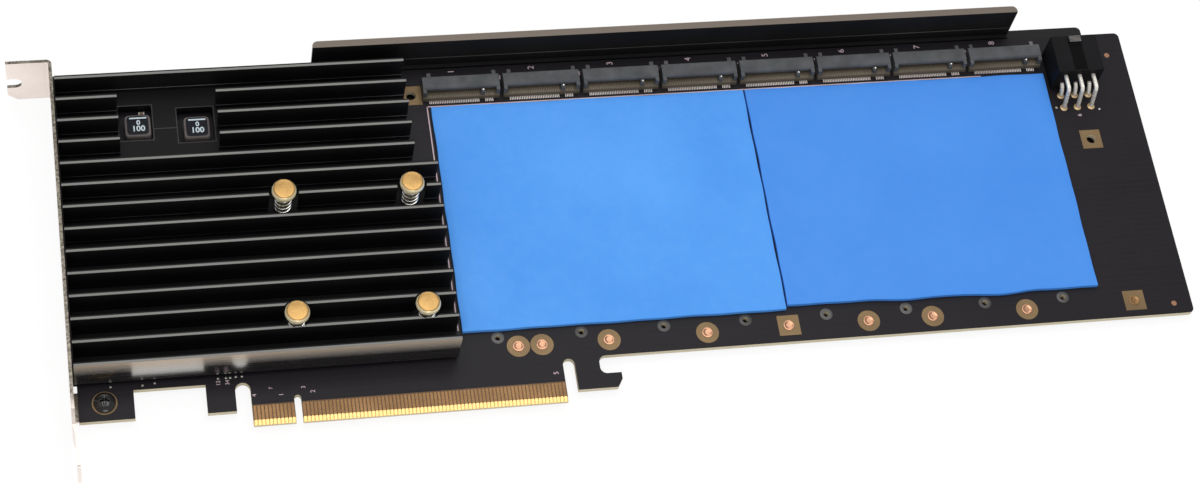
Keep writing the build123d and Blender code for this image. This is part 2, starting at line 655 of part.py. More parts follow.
def rail():
    """Foot under the board's top edge, and a wall with rounded corners on a step beside the edge."""
    footprint = flat(RAIL_LEFT, RAIL_RIGHT, BOARD_TOP - RAIL_FOOT_REACH, RAIL_OUTER)
    footprint = fillet(footprint.vertices(), RAIL_ROUND)
    body = slab(footprint, RAIL_UNDER, BOARD_BACK)
    beside = flat(RAIL_LEFT, RAIL_WALL_RIGHT, RAIL_INNER, RAIL_OUTER)
    body += slab(fillet(beside.vertices().group_by(Axis.Y)[-1], RAIL_ROUND), BOARD_BACK, 0)
    wall = flat(RAIL_LEFT, RAIL_WALL_RIGHT, RAIL_OUTER - RAIL_WALL, RAIL_OUTER)
    wall = fillet(wall.vertices().group_by(Axis.Y)[-1], RAIL_ROUND)
    return body + slab(wall, 0, RAIL_TOP)


def bracket_face():
    """Outline of the bracket seen along X, drawn as (Y, Z)."""
    face = flat(PLATE_LOW, BRACKET_TOP, BRACKET_UNDER, BRACKET_UPPER)
    half = TONGUE_WIDTH / 2
    tongue = Polygon(
        (PLATE_LOW, BRACKET_UPPER), (JOG_TOP, BRACKET_MIDDLE + half),
        (BRACKET_LOW, BRACKET_MIDDLE + half), (BRACKET_LOW, BRACKET_MIDDLE - half),
        (JOG_TOP, BRACKET_MIDDLE - half), (PLATE_LOW, BRACKET_UNDER), align=None,
    )
    face += fillet(tongue.vertices().group_by(Axis.X)[0], TONGUE_ROUND)
    for n in range(VENT_COUNT):
        face -= Pos(VENT_FIRST + VENT_PITCH * n, BRACKET_MIDDLE) * Rectangle(VENT_HEIGHT, VENT_LENGTH)
    return face


def mounting_bracket():
    """Folded sheet: plate with vents and jogged tongue, top flap with its open notch, and two ears."""
    jog_low = JOG_TOP - TONGUE_TAPER
    side = Polygon(
        (BRACKET_OUTER, BRACKET_TOP), (BRACKET_OUTER, JOG_TOP), (BRACKET_OUTER + TONGUE_JOG, jog_low),
        (BRACKET_OUTER + TONGUE_JOG, BRACKET_LOW), (BRACKET_INNER + TONGUE_JOG, BRACKET_LOW),
        (BRACKET_INNER + TONGUE_JOG, jog_low), (BRACKET_INNER, JOG_TOP), (BRACKET_INNER, BRACKET_TOP),
        align=None,
    )
    side += flat(BRACKET_OUTER - BRACKET_FLAP, BRACKET_INNER, BRACKET_TOP - BRACKET_THICK, BRACKET_TOP)
    outer = [v for v in side.vertices() if abs(v.X - BRACKET_INNER) < 1e-6 and abs(v.Y - BRACKET_TOP) < 1e-6]
    side = fillet(outer, BRACKET_FOLD + BRACKET_THICK)
    inner = [v for v in side.vertices()
             if abs(v.X - BRACKET_OUTER) < 1e-6 and abs(v.Y - BRACKET_TOP + BRACKET_THICK) < 1e-6]
    side = fillet(inner, BRACKET_FOLD)
    sheet = slab(side, BRACKET_UNDER, BRACKET_UPPER)
    along = Plane(origin=(BRACKET_OUTER - BRACKET_FLAP - 1, 0, 0), x_dir=(0, 1, 0), z_dir=(1, 0, 0))
    sheet &= extrude(along * bracket_face(), BRACKET_FLAP + 4 * BRACKET_THICK)
    sheet -= flap_cuts()
    for y in (EAR_LOWER_Y, EAR_UPPER_Y):
        sheet += bracket_ear(y)
    return sheet


def flap_cuts():
    """Open notch for the case screw and the cut corner beside it."""
    edge = BRACKET_OUTER - BRACKET_FLAP
    radius = FLAP_NOTCH_WIDTH / 2
    level = Plane(origin=(0, BRACKET_TOP - 2 * BRACKET_THICK, 0), x_dir=(1, 0, 0), z_dir=(0, -1, 0))
    notch = flat(edge - 1, edge + FLAP_NOTCH_DEPTH - radius, FLAP_NOTCH_CENTRE - radius, FLAP_NOTCH_CENTRE + radius)
    notch += Pos(edge + FLAP_NOTCH_DEPTH - radius, FLAP_NOTCH_CENTRE) * Circle(radius)
    notch += Polygon((edge, BRACKET_UNDER), (edge + FLAP_CHAMFER, BRACKET_UNDER),
                     (edge, BRACKET_UNDER + FLAP_CHAMFER), align=None)
    return extrude(level * notch, -3 * BRACKET_THICK)


def bracket_ear(y):
    """Ear folded under the board, with its tapped hole."""
    ear = flat(BRACKET_INNER, BRACKET_INNER + EAR_LENGTH, y - EAR_WIDTH / 2, y + EAR_WIDTH / 2)
    ear = fillet(ear.vertices().group_by(Axis.X)[-1], EAR_ROUND)
    return slab(ear - Pos(SCREW_X, y) * Circle(SCREW_RADIUS), EAR_UNDER, BOARD_BACK)


def cross_recess(z, down):
    """Cross cut in a screw head, from its face towards the shank."""
    arm = Rectangle(CROSS_LENGTH, CROSS_WIDTH) + Rectangle(CROSS_WIDTH, CROSS_LENGTH)
    return extrude(Pos(0, 0, z) * arm, -down * CROSS_DEPTH)


def bracket_screw_front():
    """Domed cross-head screw through the board into the lower ear."""
    seat = PLATING
    shank = rod(0, 0, SCREW_RADIUS, EAR_UNDER - SCREW_PAST, seat)
    head = post(0, 0, SCREW_HEAD_RADIUS, seat, seat + SCREW_HEAD)
    head = chamfer(head.edges().group_by(Axis.Z)[-1], SCREW_HEAD_BEVEL)
    head -= cross_recess(seat + SCREW_HEAD, 1)
    return Pos(SCREW_X, EAR_LOWER_Y, 0) * (head + shank)


def bracket_screw_rear():
    """Low-headed screw from behind, through the upper ear into the board, under the heatsink."""
    head = post(0, 0, SCREW_HEAD_RADIUS, EAR_UNDER - REAR_SCREW_HEAD, EAR_UNDER)
    head -= Pos(0, 0, -REAR_SCREW_HEAD) * cross_recess(EAR_UNDER, -0.7)
    shank = rod(0, 0, SCREW_RADIUS, EAR_UNDER, SCREW_PAST)
    return Pos(SCREW_X, EAR_UPPER_Y, 0) * (head + shank)


def board_capacitors():
    """Small two-pole parts: those seen beside the heatsink, and two rows beside the controller."""
    places = []
    for name, (x, y) in INDUCTORS.items():
        across, along = CAPS_BESIDE[name]
        places.append((x + across, y + along))
    row = CHIP_SIDE / 2 + CAP_ROW_SETBACK
    for n in range(CAP_ROW_COUNT):
        x = PIN_CENTRE_X + CAP_ROW_PITCH * (n - (CAP_ROW_COUNT - 1) / 2)
        places += [(x, PIN_CENTRE_Y - row - CHIP_GAP), (x, PIN_CENTRE_Y + row + CHIP_GAP)]
    return group(Pos(x, y, CAP_HEIGHT / 2) * Box(CAP_LENGTH, CAP_WIDTH, CAP_HEIGHT) for x, y in places)


NODES = {
    "circuit_board": circuit_board(),
    "edge_contacts_front": edge_contacts(0, PLATING),
    "edge_contacts_back": edge_contacts(BOARD_BACK - PLATING, BOARD_BACK),
    "square_pads": square_pads(),
    "round_pads": round_pads(),
    "copper_studs": copper_studs(),
    "controller_heatsink": controller_heatsink(),
    "push_pins": push_pins(),
    "pin_springs": pin_springs(),
    "switch_chip": switch_chip(),
    "chip_thermal_pad": chip_thermal_pad(),
    "inductor_left": inductor("left"),
    "inductor_right": inductor("right"),
    "slot_contacts": slot_contacts(),
    "slot_hold_downs": slot_hold_downs(),
    "thermal_pad_left": thermal_pad(0),
    "thermal_pad_right": thermal_pad(1),
    "power_header": power_header(),
    "power_pins": power_pins(),
    "top_rail": rail(),
    "mounting_bracket": mounting_bracket(),
    "bracket_screw_front": bracket_screw_front(),
    "bracket_screw_rear": bracket_screw_rear(),
    "board_capacitors": board_capacitors(),
}
for number, slot_x in enumerate(SLOT_PLACES, 1):
    NODES[f"slot_{number}"] = slot_housing(slot_x)

os.makedirs("parts", exist_ok=True)
for name, shape in NODES.items():
    export_step(shape, f"parts/{name}.step")
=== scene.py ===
import math

import bpy
import numpy as np
from bpy.props import FloatProperty, FloatVectorProperty, IntProperty, PointerProperty
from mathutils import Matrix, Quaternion, Vector


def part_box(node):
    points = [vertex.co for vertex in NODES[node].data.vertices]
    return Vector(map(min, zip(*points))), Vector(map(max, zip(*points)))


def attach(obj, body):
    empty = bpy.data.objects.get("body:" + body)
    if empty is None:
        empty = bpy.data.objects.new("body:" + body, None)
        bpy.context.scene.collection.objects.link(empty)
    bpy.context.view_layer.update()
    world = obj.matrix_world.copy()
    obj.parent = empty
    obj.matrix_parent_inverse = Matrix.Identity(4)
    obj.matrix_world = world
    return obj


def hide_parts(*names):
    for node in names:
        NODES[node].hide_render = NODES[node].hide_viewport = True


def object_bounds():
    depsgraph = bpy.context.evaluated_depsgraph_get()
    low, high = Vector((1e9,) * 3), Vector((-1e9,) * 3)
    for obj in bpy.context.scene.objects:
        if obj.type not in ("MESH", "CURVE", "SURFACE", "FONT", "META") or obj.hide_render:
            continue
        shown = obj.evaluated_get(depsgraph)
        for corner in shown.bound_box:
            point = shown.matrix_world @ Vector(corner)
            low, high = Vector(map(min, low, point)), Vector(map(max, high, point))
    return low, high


bl_info = {
    "name": "Module Card Dresser",
    "version": (1, 0, 0),
    "blender": (4, 5, 0),
    "location": "3D View > Sidebar > Card",
    "description": "Finishes and fine pieces for a long expansion card that takes plug-in modules",
    "category": "Object",
}

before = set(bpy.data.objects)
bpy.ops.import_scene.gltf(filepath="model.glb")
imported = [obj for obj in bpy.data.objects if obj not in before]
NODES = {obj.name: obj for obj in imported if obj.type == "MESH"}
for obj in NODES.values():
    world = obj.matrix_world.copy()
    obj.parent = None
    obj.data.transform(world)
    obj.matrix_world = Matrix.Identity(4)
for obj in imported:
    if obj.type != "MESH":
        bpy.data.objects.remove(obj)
CAD_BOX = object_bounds()
MM = 0.001
SLOT_SHIFT = 0.5 * MM
SLOT_KEY = 6.13 * MM
PIN_RADIUS = 3.35 * MM
SLOT_NAMES = [f"slot_{n}" for n in range(1, 9)]
BLOCK_SIDES = np.array([[0, 3, 2, 1], [4, 5, 6, 7], [0, 1, 5, 4], [1, 2, 6, 5], [2, 3, 7, 6], [3, 0, 4, 7]])


def colour(name, text, value):
    """One colour setting, in linear light."""
    return FloatVectorProperty(
        name=name, description=text, subtype="COLOR", size=3, min=0, max=1, default=value,
    )


def length(name, text, value):
    """One length setting, in metres."""
    return FloatProperty(name=name, description=text, unit="LENGTH", precision=5, default=value)


def number(name, text, value):
    """One plain number setting."""
    return FloatProperty(name=name, description=text, default=value)


class CardSizes(bpy.types.PropertyGroup):
    """Sizes of the fine pieces."""
    contact_pitch: length("Contact pitch", "Step between contacts in a module connector", 0.0005)
    contact_width: length("Contact width", "Width of one contact in a module connector", 0.00026)
    print_line: length("Print line", "Width of the printed outlines", 0.00032)
    print_height: length("Print height", "How far the print stands above the board", 0.00003)
    ring_radius: length("Module ring", "Outer radius of the plated ring round a module's hole", 0.0018)
    pad_wave: length("Pad wave", "How far the soft pads' cut edges wander", 0.00025)
    spring_wire: length("Spring wire", "Radius of the springs' wire", 0.0003)
    spring_turns: number("Spring turns", "Turns in each pin's spring", 5.0)
    fin_pitch: length("Fin pitch", "Step between the heatsink's fins", 0.00672)
    # Width of the painted highlight line along the front of each fin top
    fin_highlight_width: length("Fin line", "Width of the bare line along the front of each fin top", 0.00062)
    dish_depth: length("Stud dish", "Depth of the dish in each copper stud", 0.00035)


class CardColours(bpy.types.PropertyGroup):
    """Colours of the finishes."""
    mask: colour("Board", "Black board coating", (0.0095, 0.0080, 0.0105))
    edge: colour("Board edge", "Cut edge of the board", (0.62, 0.55, 0.40))
    ink: colour("Print", "Printed outlines and numbers", (0.62, 0.47, 0.50))
    gold: colour("Gold", "Worn gold of contacts and pads", (0.26, 0.145, 0.062))
    bright_gold: colour("Bright gold", "Gold that catches the light at the tongue's tip", (0.86, 0.58, 0.22))
    copper: colour("Copper", "Bright copper studs", (0.48, 0.26, 0.16))
    black: colour("Black metal", "Black finish of heatsink and rail", (0.0075, 0.0075, 0.008))
    # Painted highlight colour for the front line of each fin top
    bare: colour("Bare edge", "Metal where the black finish is thin", (0.25, 0.245, 0.235))
    sheen: colour("Polished front", "Tint of the heatsink's polished front wall", (0.42, 0.41, 0.39))
    brass: colour("Brass", "Turned brass pins", (0.50, 0.30, 0.105))
    steel: colour("Steel", "Bright wire and tinned pins", (0.80, 0.79, 0.77))
    nickel: colour("Nickel", "Plated bracket", (0.90, 0.80, 0.74))
    blue: colour("Soft pads", "Blue soft pads", (0.067, 0.320, 0.865))
    housing: colour("Connectors", "Moulded connector housings", (0.088, 0.092, 0.098))
    plastic: colour("Black plastic", "Moulded power housing", (0.008, 0.008, 0.009))


class CardStage(bpy.types.PropertyGroup):
    """Camera and light."""
    focal_px: number("Focal length", "Camera's focal length in photo pixels", 2768.15)
    photo_width: IntProperty(name="Photo width", description="Photo's width in pixels", default=1200)
    lamp_power: number("Top lamp", "Power of the large soft lamp", 5.5)
    side_power: number("Side lamp", "Power of the soft lamp beyond the card", 3.0)
    front_power: number("Front lamp", "Power of the soft lamp before the card", 1.6)
    world_level: number("Sky", "Strength of the even light", 0.55)
    floor_glow: number("Floor glow", "Strength of the floor's own light, as the camera sees it", 1.03)
    floor_share: number("Floor share", "Share of that light in what the camera sees of the floor", 0.86)


# Meshes

def make_object(name, points, faces, material, slot, smooth=True, sharp=35.0):
    """Mesh object from an array of points and one of quads or triangles, riding on the card."""
    mesh = bpy.data.meshes.new(name)
    mesh.from_pydata(np.asarray(points, float).reshape(-1, 3).tolist(), [], np.asarray(faces).tolist())
    mesh.validate()
    mesh.update()
    mesh.polygons.foreach_set("use_smooth", np.full(len(mesh.polygons), smooth))
    if smooth:
        mesh.set_sharp_from_angle(angle=math.radians(sharp))
    mesh.materials.append(material)
    piece = bpy.data.objects.new(name, mesh)
    bpy.context.scene.collection.objects.link(piece)
    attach(piece, "root")
    return piece


def lattice(rows, columns, wrap_columns=False):
    """Quads of a grid of rows by columns points. Each joins point (r, c) to (r, c + 1), (r + 1, c + 1) and
    (r + 1, c)."""
    r = np.arange(rows - 1)
    c = np.arange(columns if wrap_columns else columns - 1)
    r, c = (a.ravel() for a in np.meshgrid(r, c, indexing="ij"))
    r2, c2 = r + 1, (c + 1) % columns
    return np.stack([r * columns + c, r * columns + c2, r2 * columns + c2, r2 * columns + c], axis=1)


def copies(points, faces, offsets):
    """The same shape at each offset: point + offset, with faces counted on."""
    points, faces, offsets = np.asarray(points, float), np.asarray(faces), np.asarray(offsets, float)
    out = (points[None] + offsets[:, None]).reshape(-1, 3)
    step = (np.arange(len(offsets)) * len(points))[:, None, None]
    return out, (faces[None] + step).reshape(-1, faces.shape[1])


def joined(*shapes):
    """Several (points, faces) pairs as one, with faces counted on."""
    points, faces, start = [], [], 0
    for p, f in shapes:
        points.append(np.asarray(p, float))
        faces.append(np.asarray(f) + start)
        start += len(p)
    return np.concatenate(points), np.concatenate(faces)


def bars(low, high):
    """Closed blocks from arrays of low and high corners: each corner picks low or high on each axis."""
    low, high = np.atleast_2d(np.asarray(low, float)), np.atleast_2d(np.asarray(high, float))
    pick = np.array([[0, 0, 0], [1, 0, 0], [1, 1, 0], [0, 1, 0], [0, 0, 1], [1, 0, 1], [1, 1, 1], [0, 1, 1]])
    points = low[:, None] + (high - low)[:, None] * pick[None]
    faces = BLOCK_SIDES[None] + (np.arange(len(low)) * 8)[:, None, None]
    return points.reshape(-1, 3), faces.reshape(-1, 4)


def soft_bars(low, high, bevel):
    """Blocks with bevelled upper edges: a ring of 4 points at the foot, at the top less the bevel, and drawn
    in by the bevel at the top, closed by a quad at each end."""
    low, high = np.atleast_2d(np.asarray(low, float)), np.atleast_2d(np.asarray(high, float))
    pick = np.array([[0, 0], [1, 0], [1, 1], [0, 1]])
    inset = np.array([0, 0, 1]) * bevel
    height = np.stack([low[:, 2], high[:, 2] - bevel, high[:, 2]], axis=1)
    flat_low = low[:, None, None, :2] + inset[None, :, None, None]
    flat_high = high[:, None, None, :2] - inset[None, :, None, None]
    xy = flat_low + (flat_high - flat_low) * pick[None, None]
    z = np.broadcast_to(height[:, :, None, None], xy.shape[:3] + (1,))
    points = np.concatenate([xy, z], axis=3).reshape(len(low), 12, 3)
    faces = np.concatenate([lattice(3, 4, wrap_columns=True), [[3, 2, 1, 0], [8, 9, 10, 11]]])
    out = faces[None] + (np.arange(len(low)) * 12)[:, None, None]
    return points.reshape(-1, 3), out.reshape(-1, 4)


def turned(profile, sides):
    """Surface of revolution about Z: each profile point (r, z) goes round as (r cos t, r sin t, z), with t in
    even steps. A profile from axis to axis closes itself."""
    r, z = np.asarray(profile, float).T
    t = np.linspace(0, 2 * math.pi, sides, endpoint=False)
    points = np.stack([np.outer(r, np.cos(t)), np.outer(r, np.sin(t)), np.outer(z, np.ones(sides))], axis=2)
    return points.reshape(-1, 3), lattice(len(r), sides, wrap_columns=True)


def swept(path, radius, sides, square=False, across=None):
    """Tube round a path: at each point a ring of radius in the plane across the path, and a small ring that
    closes each end. The ring's first direction is level, or the one given where the path's plane lies across
    it. A square ring is the curve |c|^6 + |s|^6 = 1."""
    path = np.asarray(path, float)
    along = np.gradient(path, axis=0)
    along /= np.linalg.norm(along, axis=1)[:, None]
    if across is None:
        side = np.cross(along, [0.0, 0.0, 1.0])
    else:
        side = np.tile(np.asarray(across, float), (len(path), 1))
    side /= np.linalg.norm(side, axis=1)[:, None]
    over = np.cross(side, along)
    t = np.linspace(0, 2 * math.pi, sides, endpoint=False) + math.pi / sides
    c, s = np.cos(t), np.sin(t)
    if square:
        power = (np.abs(c) ** 6 + np.abs(s) ** 6) ** (1 / 6)
        c, s = c / power, s / power
    ring = side[:, None] * (radius * c)[None, :, None] + over[:, None] * (radius * s)[None, :, None]
    closing = 0.02
    first, last = path[0] + ring[0] * closing, path[-1] + ring[-1] * closing
    points = np.concatenate([first[None], path[:, None] + ring, last[None]])
    return points.reshape(-1, 3), lattice(len(points), sides, wrap_columns=True)


def node_box(name):
    """Low and high corner of a CAD node as arrays."""
    low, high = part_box(name)
    return np.array(low), np.array(high)


def finish(material, *names):
    """One finish on CAD nodes."""
    for name in names:
        mesh = NODES[name].data
        mesh.materials.clear()
        mesh.materials.append(material)


# Shader groups

def new_group(name, inputs, outputs):
    """Shader node group with named sockets: (name, kind, default) in, (name, kind) out."""
    tree = bpy.data.node_groups.new(name, "ShaderNodeTree")
    for title, kind, value in inputs:
        socket = tree.interface.new_socket(name=title, in_out="INPUT", socket_type=kind)
        if value is not None:
            socket.default_value = value
    for title, kind in outputs:
        tree.interface.new_socket(name=title, in_out="OUTPUT", socket_type=kind)
    return tree, tree.nodes.new("NodeGroupInput"), tree.nodes.new("NodeGroupOutput")


def add(tree, kind, links=(), **settings):
    """Node with its settings. Each (input, value) pair in links joins a socket or sets a plain value."""
    node = tree.nodes.new(kind)
    for key, value in settings.items():
        setattr(node, key, value)
    for socket, value in links:
        if isinstance(value, bpy.types.NodeSocket):
            tree.links.new(value, node.inputs[socket])
        else:
            node.inputs[socket].default_value = value
    return node


def maths(tree, operation, a, b=0.0, clamp=False):
    """One Math node's output."""
    return add(tree, "ShaderNodeMath", [(0, a), (1, b)], operation=operation, use_clamp=clamp).outputs[0]


def times(tree, a, b):
    """a times b."""
    return maths(tree, "MULTIPLY", a, b)


def plus(tree, a, b, clamp=False):
    """a and b together."""
    return maths(tree, "ADD", a, b, clamp)


def minus(tree, a, b):
    """a less b."""
    return maths(tree, "SUBTRACT", a, b)


def less(tree, a, b):
    """1 where a is less than b, or else 0."""
    return maths(tree, "LESS_THAN", a, b)


def more(tree, a, b):
    """1 where a is more than b, or else 0."""
    return maths(tree, "GREATER_THAN", a, b)


def away(tree, a, b):
    """How far a is from b, up or down."""
    return maths(tree, "ABSOLUTE", minus(tree, a, b))


def blend(tree, amount, a, b):
    """Colour between a and b."""
    return add(tree, "ShaderNodeMix", [(0, amount), (6, a), (7, b)], data_type="RGBA").outputs[2]


def rgba(tint):
    """Tint as four values."""
    return (*tint, 1.0)


def shade(tint, *factors):
    """Tint times one factor, or times one each for red, green and blue, as four values."""
    return (*(min(1.0, c * f) for c, f in zip(tint, factors * (3 // len(factors)))), 1.0)


def place_on(tree, kind="Object"):
    """Object coordinates, or for Normal the way that the face looks."""
    return add(tree, "ShaderNodeTexCoord").outputs[kind]


def split(tree, kind="Object"):
    """X, Y and Z of the Object coordinates, or of the Normal."""
    return add(tree, "ShaderNodeSeparateXYZ", [(0, place_on(tree, kind))]).outputs


def cloud(tree, place, scale, detail):
    """Noise at a place, mostly between 0.3 and 0.7."""
    links = [("Vector", place), ("Scale", scale), ("Detail", detail)]
    return add(tree, "ShaderNodeTexNoise", links).outputs["Fac"]


def drawn_out(tree, factors):
    """Object coordinates times a factor on each axis. A small factor draws a pattern out along its axis."""
    return add(tree, "ShaderNodeMapping", [("Vector", place_on(tree)), ("Scale", factors)]).outputs[0]


def grain_group():
    """Fine grain: a small noise for the bump, and a slow one that varies tone and gloss."""
    tree, inner, outer = new_group(
        "Fine Grain",
        [("Size", "NodeSocketFloat", 2500.0), ("Patch Size", "NodeSocketFloat", 60.0)],
        [("Grain", "NodeSocketFloat"), ("Patches", "NodeSocketFloat")],
    )
    place = place_on(tree)
    tree.links.new(cloud(tree, place, inner.outputs["Size"], 3.0), outer.inputs["Grain"])
    tree.links.new(cloud(tree, place, inner.outputs["Patch Size"], 4.0), outer.inputs["Patches"])
    return tree


def brushed_group():
    """Brushing along X: a noise drawn out a hundred times along the card."""
    tree, inner, outer = new_group(
        "Brushed Along", [("Size", "NodeSocketFloat", 4000.0)], [("Streaks", "NodeSocketFloat")],
    )
    streaks = cloud(tree, drawn_out(tree, (0.01, 1.0, 1.0)), inner.outputs["Size"], 4.0)
    tree.links.new(streaks, outer.inputs["Streaks"])
    return tree


def above_group():
    """Mask that is 1 where a point is above a level and its face looks up, softened over a small height."""
    tree, inner, outer = new_group(
        "Upper Faces",
        [("Level", "NodeSocketFloat", 0.01), ("Softness", "NodeSocketFloat", 0.0002)],
        [("Mask", "NodeSocketFloat")],
    )
    over = minus(tree, split(tree)[2], inner.outputs["Level"])
    high = maths(tree, "DIVIDE", over, inner.outputs["Softness"], clamp=True)
    up = more(tree, split(tree, "Normal")[2], 0.5)
    tree.links.new(times(tree, high, up), outer.inputs["Mask"])
    return tree


def group_of(name, maker):
    """The shader group of that name, made the first time."""
    return bpy.data.node_groups.get(name) or maker()


def use_group(tree, name, maker, **values):
    """Node that places a group, with its own values."""
    node = tree.nodes.new("ShaderNodeGroup")
    node.node_tree = group_of(name, maker)
    for key, value in values.items():
        socket = node.inputs[key.replace("_", " ")]
        if isinstance(value, bpy.types.NodeSocket):
            tree.links.new(value, socket)
        else:
            socket.default_value = value
    return node


def new_finish(name):
    """Material with its shader: (material, tree, shader)."""
    material = bpy.data.materials.new(name)
    material.use_nodes = True
    tree = material.node_tree
    return material, tree, tree.nodes["Principled BSDF"]


def dress(tree, shader, tint, rough, metallic=0.0, specular=None):
    """Tint, roughness, metallic and specular of a shader: sockets are linked, plain values are set."""
    levels = {"Base Color": tint, "Roughness": rough, "Metallic": metallic, "Specular IOR Level": specular}
    for name, value in levels.items():
        if isinstance(value, bpy.types.NodeSocket):
            tree.links.new(value, shader.inputs[name])
        elif value is not None:
            shader.inputs[name].default_value = value


def ranged(tree, value, low, high, start=0.3, end=0.7):
    """Value from start..end carried to low..high."""
    links = [("Value", value), ("From Min", start), ("From Max", end), ("To Min", low), ("To Max", high)]
    return add(tree, "ShaderNodeMapRange", links).outputs[0]


def speckle(tree, size, patch_size=60.0):
    """Fine grain and slow patches of a finish."""
    noise = use_group(tree, "Fine Grain", grain_group, Size=size, Patch_Size=patch_size)
    return noise.outputs["Grain"], noise.outputs["Patches"]


def streaks_along(tree, size):
    """Brushing along the card."""
    return use_group(tree, "Brushed Along", brushed_group, Size=size).outputs["Streaks"]


def upper_faces(tree, level, softness):
    """Mask of the faces that look up above a level."""
    return use_group(tree, "Upper Faces", above_group, Level=level, Softness=softness).outputs["Mask"]


def mottled(tree, patches, tint, dark, light):
    """Tint that wanders between two shades of itself."""
    return blend(tree, ranged(tree, patches, 0.0, 1.0), shade(tint, dark), shade(tint, light))


def bump(tree, shader, height, distance, strength=0.5):
    """Height into the shader's normal."""
    node = add(tree, "ShaderNodeBump", [("Height", height), ("Distance", distance), ("Strength", strength)])
    tree.links.new(node.outputs[0], shader.inputs["Normal"])


def plain_finish(name, tint, metallic, rough, spread=0.06, grain=2500.0, depth=0.00002, tone=0.12,
                 specular=None):
    """Finish with grain, gloss that varies by spread and a tint that varies by tone."""
    material, tree, shader = new_finish(name)
    small, patches = speckle(tree, grain)
    gloss = ranged(tree, small, rough - spread, rough + spread)
    dress(tree, shader, mottled(tree, patches, tint, 1 - tone, 1 + tone), gloss, metallic, specular)
    bump(tree, shader, small, depth)
    return material


def colours():
    """The colour settings."""
    return bpy.context.scene.card_colours


def sizes():
    """The size settings."""
    return bpy.context.scene.card_sizes


def bright_wire():
    """Bright steel, made the first time."""
    name = "bright_wire"
    return bpy.data.materials.get(name) or plain_finish(name, colours().steel, 1.0, 0.22, grain=3000)


class CARD_OT_board(bpy.types.Operator):
    """Coats the board: black faces with faint tracks, a pale cut edge and a bare tongue"""
    bl_idname = "card.board"
    bl_label = "Board"

    def execute(self, context):
        tint = colours()
        material, tree, shader = new_finish("board_coating")
        spot, place, facing = place_on(tree), split(tree), split(tree, "Normal")
        grain, patches = speckle(tree, 3500.0, 45.0)
        tracks = add(tree, "ShaderNodeTexBrick",
                     [("Vector", spot), ("Color1", (0, 0, 0, 1)), ("Color2", (0.35, 0.35, 0.35, 1)),
                      ("Mortar", (1, 1, 1, 1)), ("Scale", 90.0), ("Mortar Size", 0.012), ("Brick Width", 1.9),
                      ("Row Height", 0.16)]).outputs["Color"]
        vias = add(tree, "ShaderNodeTexVoronoi", [("Vector", spot), ("Scale", 260.0)])
        via = less(tree, vias.outputs["Distance"], 0.09)
        lighter = tuple(min(1.0, c * 1.7 + 0.002) for c in tint.mask)
        amount = plus(tree, times(tree, tracks, 0.35), times(tree, patches, 0.45), clamp=True)
        amount = plus(tree, amount, times(tree, via, 0.25), clamp=True)
        face = blend(tree, amount, rgba(tint.mask), rgba(lighter))
        face = blend(tree, self.tongue(tree, place), face, self.laminate(tree, place))
        side = less(tree, maths(tree, "ABSOLUTE", facing[2]), 0.95)
        layers = add(tree, "ShaderNodeTexWave", [("Vector", spot), ("Scale", 900.0), ("Distortion", 1.5)],
                     bands_direction="Z")
        layer = ranged(tree, layers.outputs["Fac"], 0.0, 0.35)
        rim = blend(tree, layer, rgba(tint.edge), shade(tint.edge, 0.7))
        gloss = plus(tree, ranged(tree, grain, 0.34, 0.46), times(tree, side, 0.3), clamp=True)
        dress(tree, shader, blend(tree, side, face, rim), gloss, specular=0.16)
        bump(tree, shader, plus(tree, times(tree, tracks, 0.6), grain), 0.00002, 0.35)
        finish(material, "circuit_board")
        return {"FINISHED"}

    def tongue(self, tree, place):
        """Mask of the bare tongue, below the contacts' tops and between its two ends."""
        top, left, right = 5.95 * MM, -12.2 * MM, 72.2 * MM
        between = times(tree, more(tree, place[0], left), less(tree, place[0], right))
        return times(tree, less(tree, place[1], top), between)

    def laminate(self, tree, place):
        """Brown laminate between the contacts, and paler on the tip's bevel."""
        bevel_top = 1.35 * MM
        return blend(tree, less(tree, place[1], bevel_top), (0.15, 0.085, 0.045, 1), (0.72, 0.48, 0.20, 1))


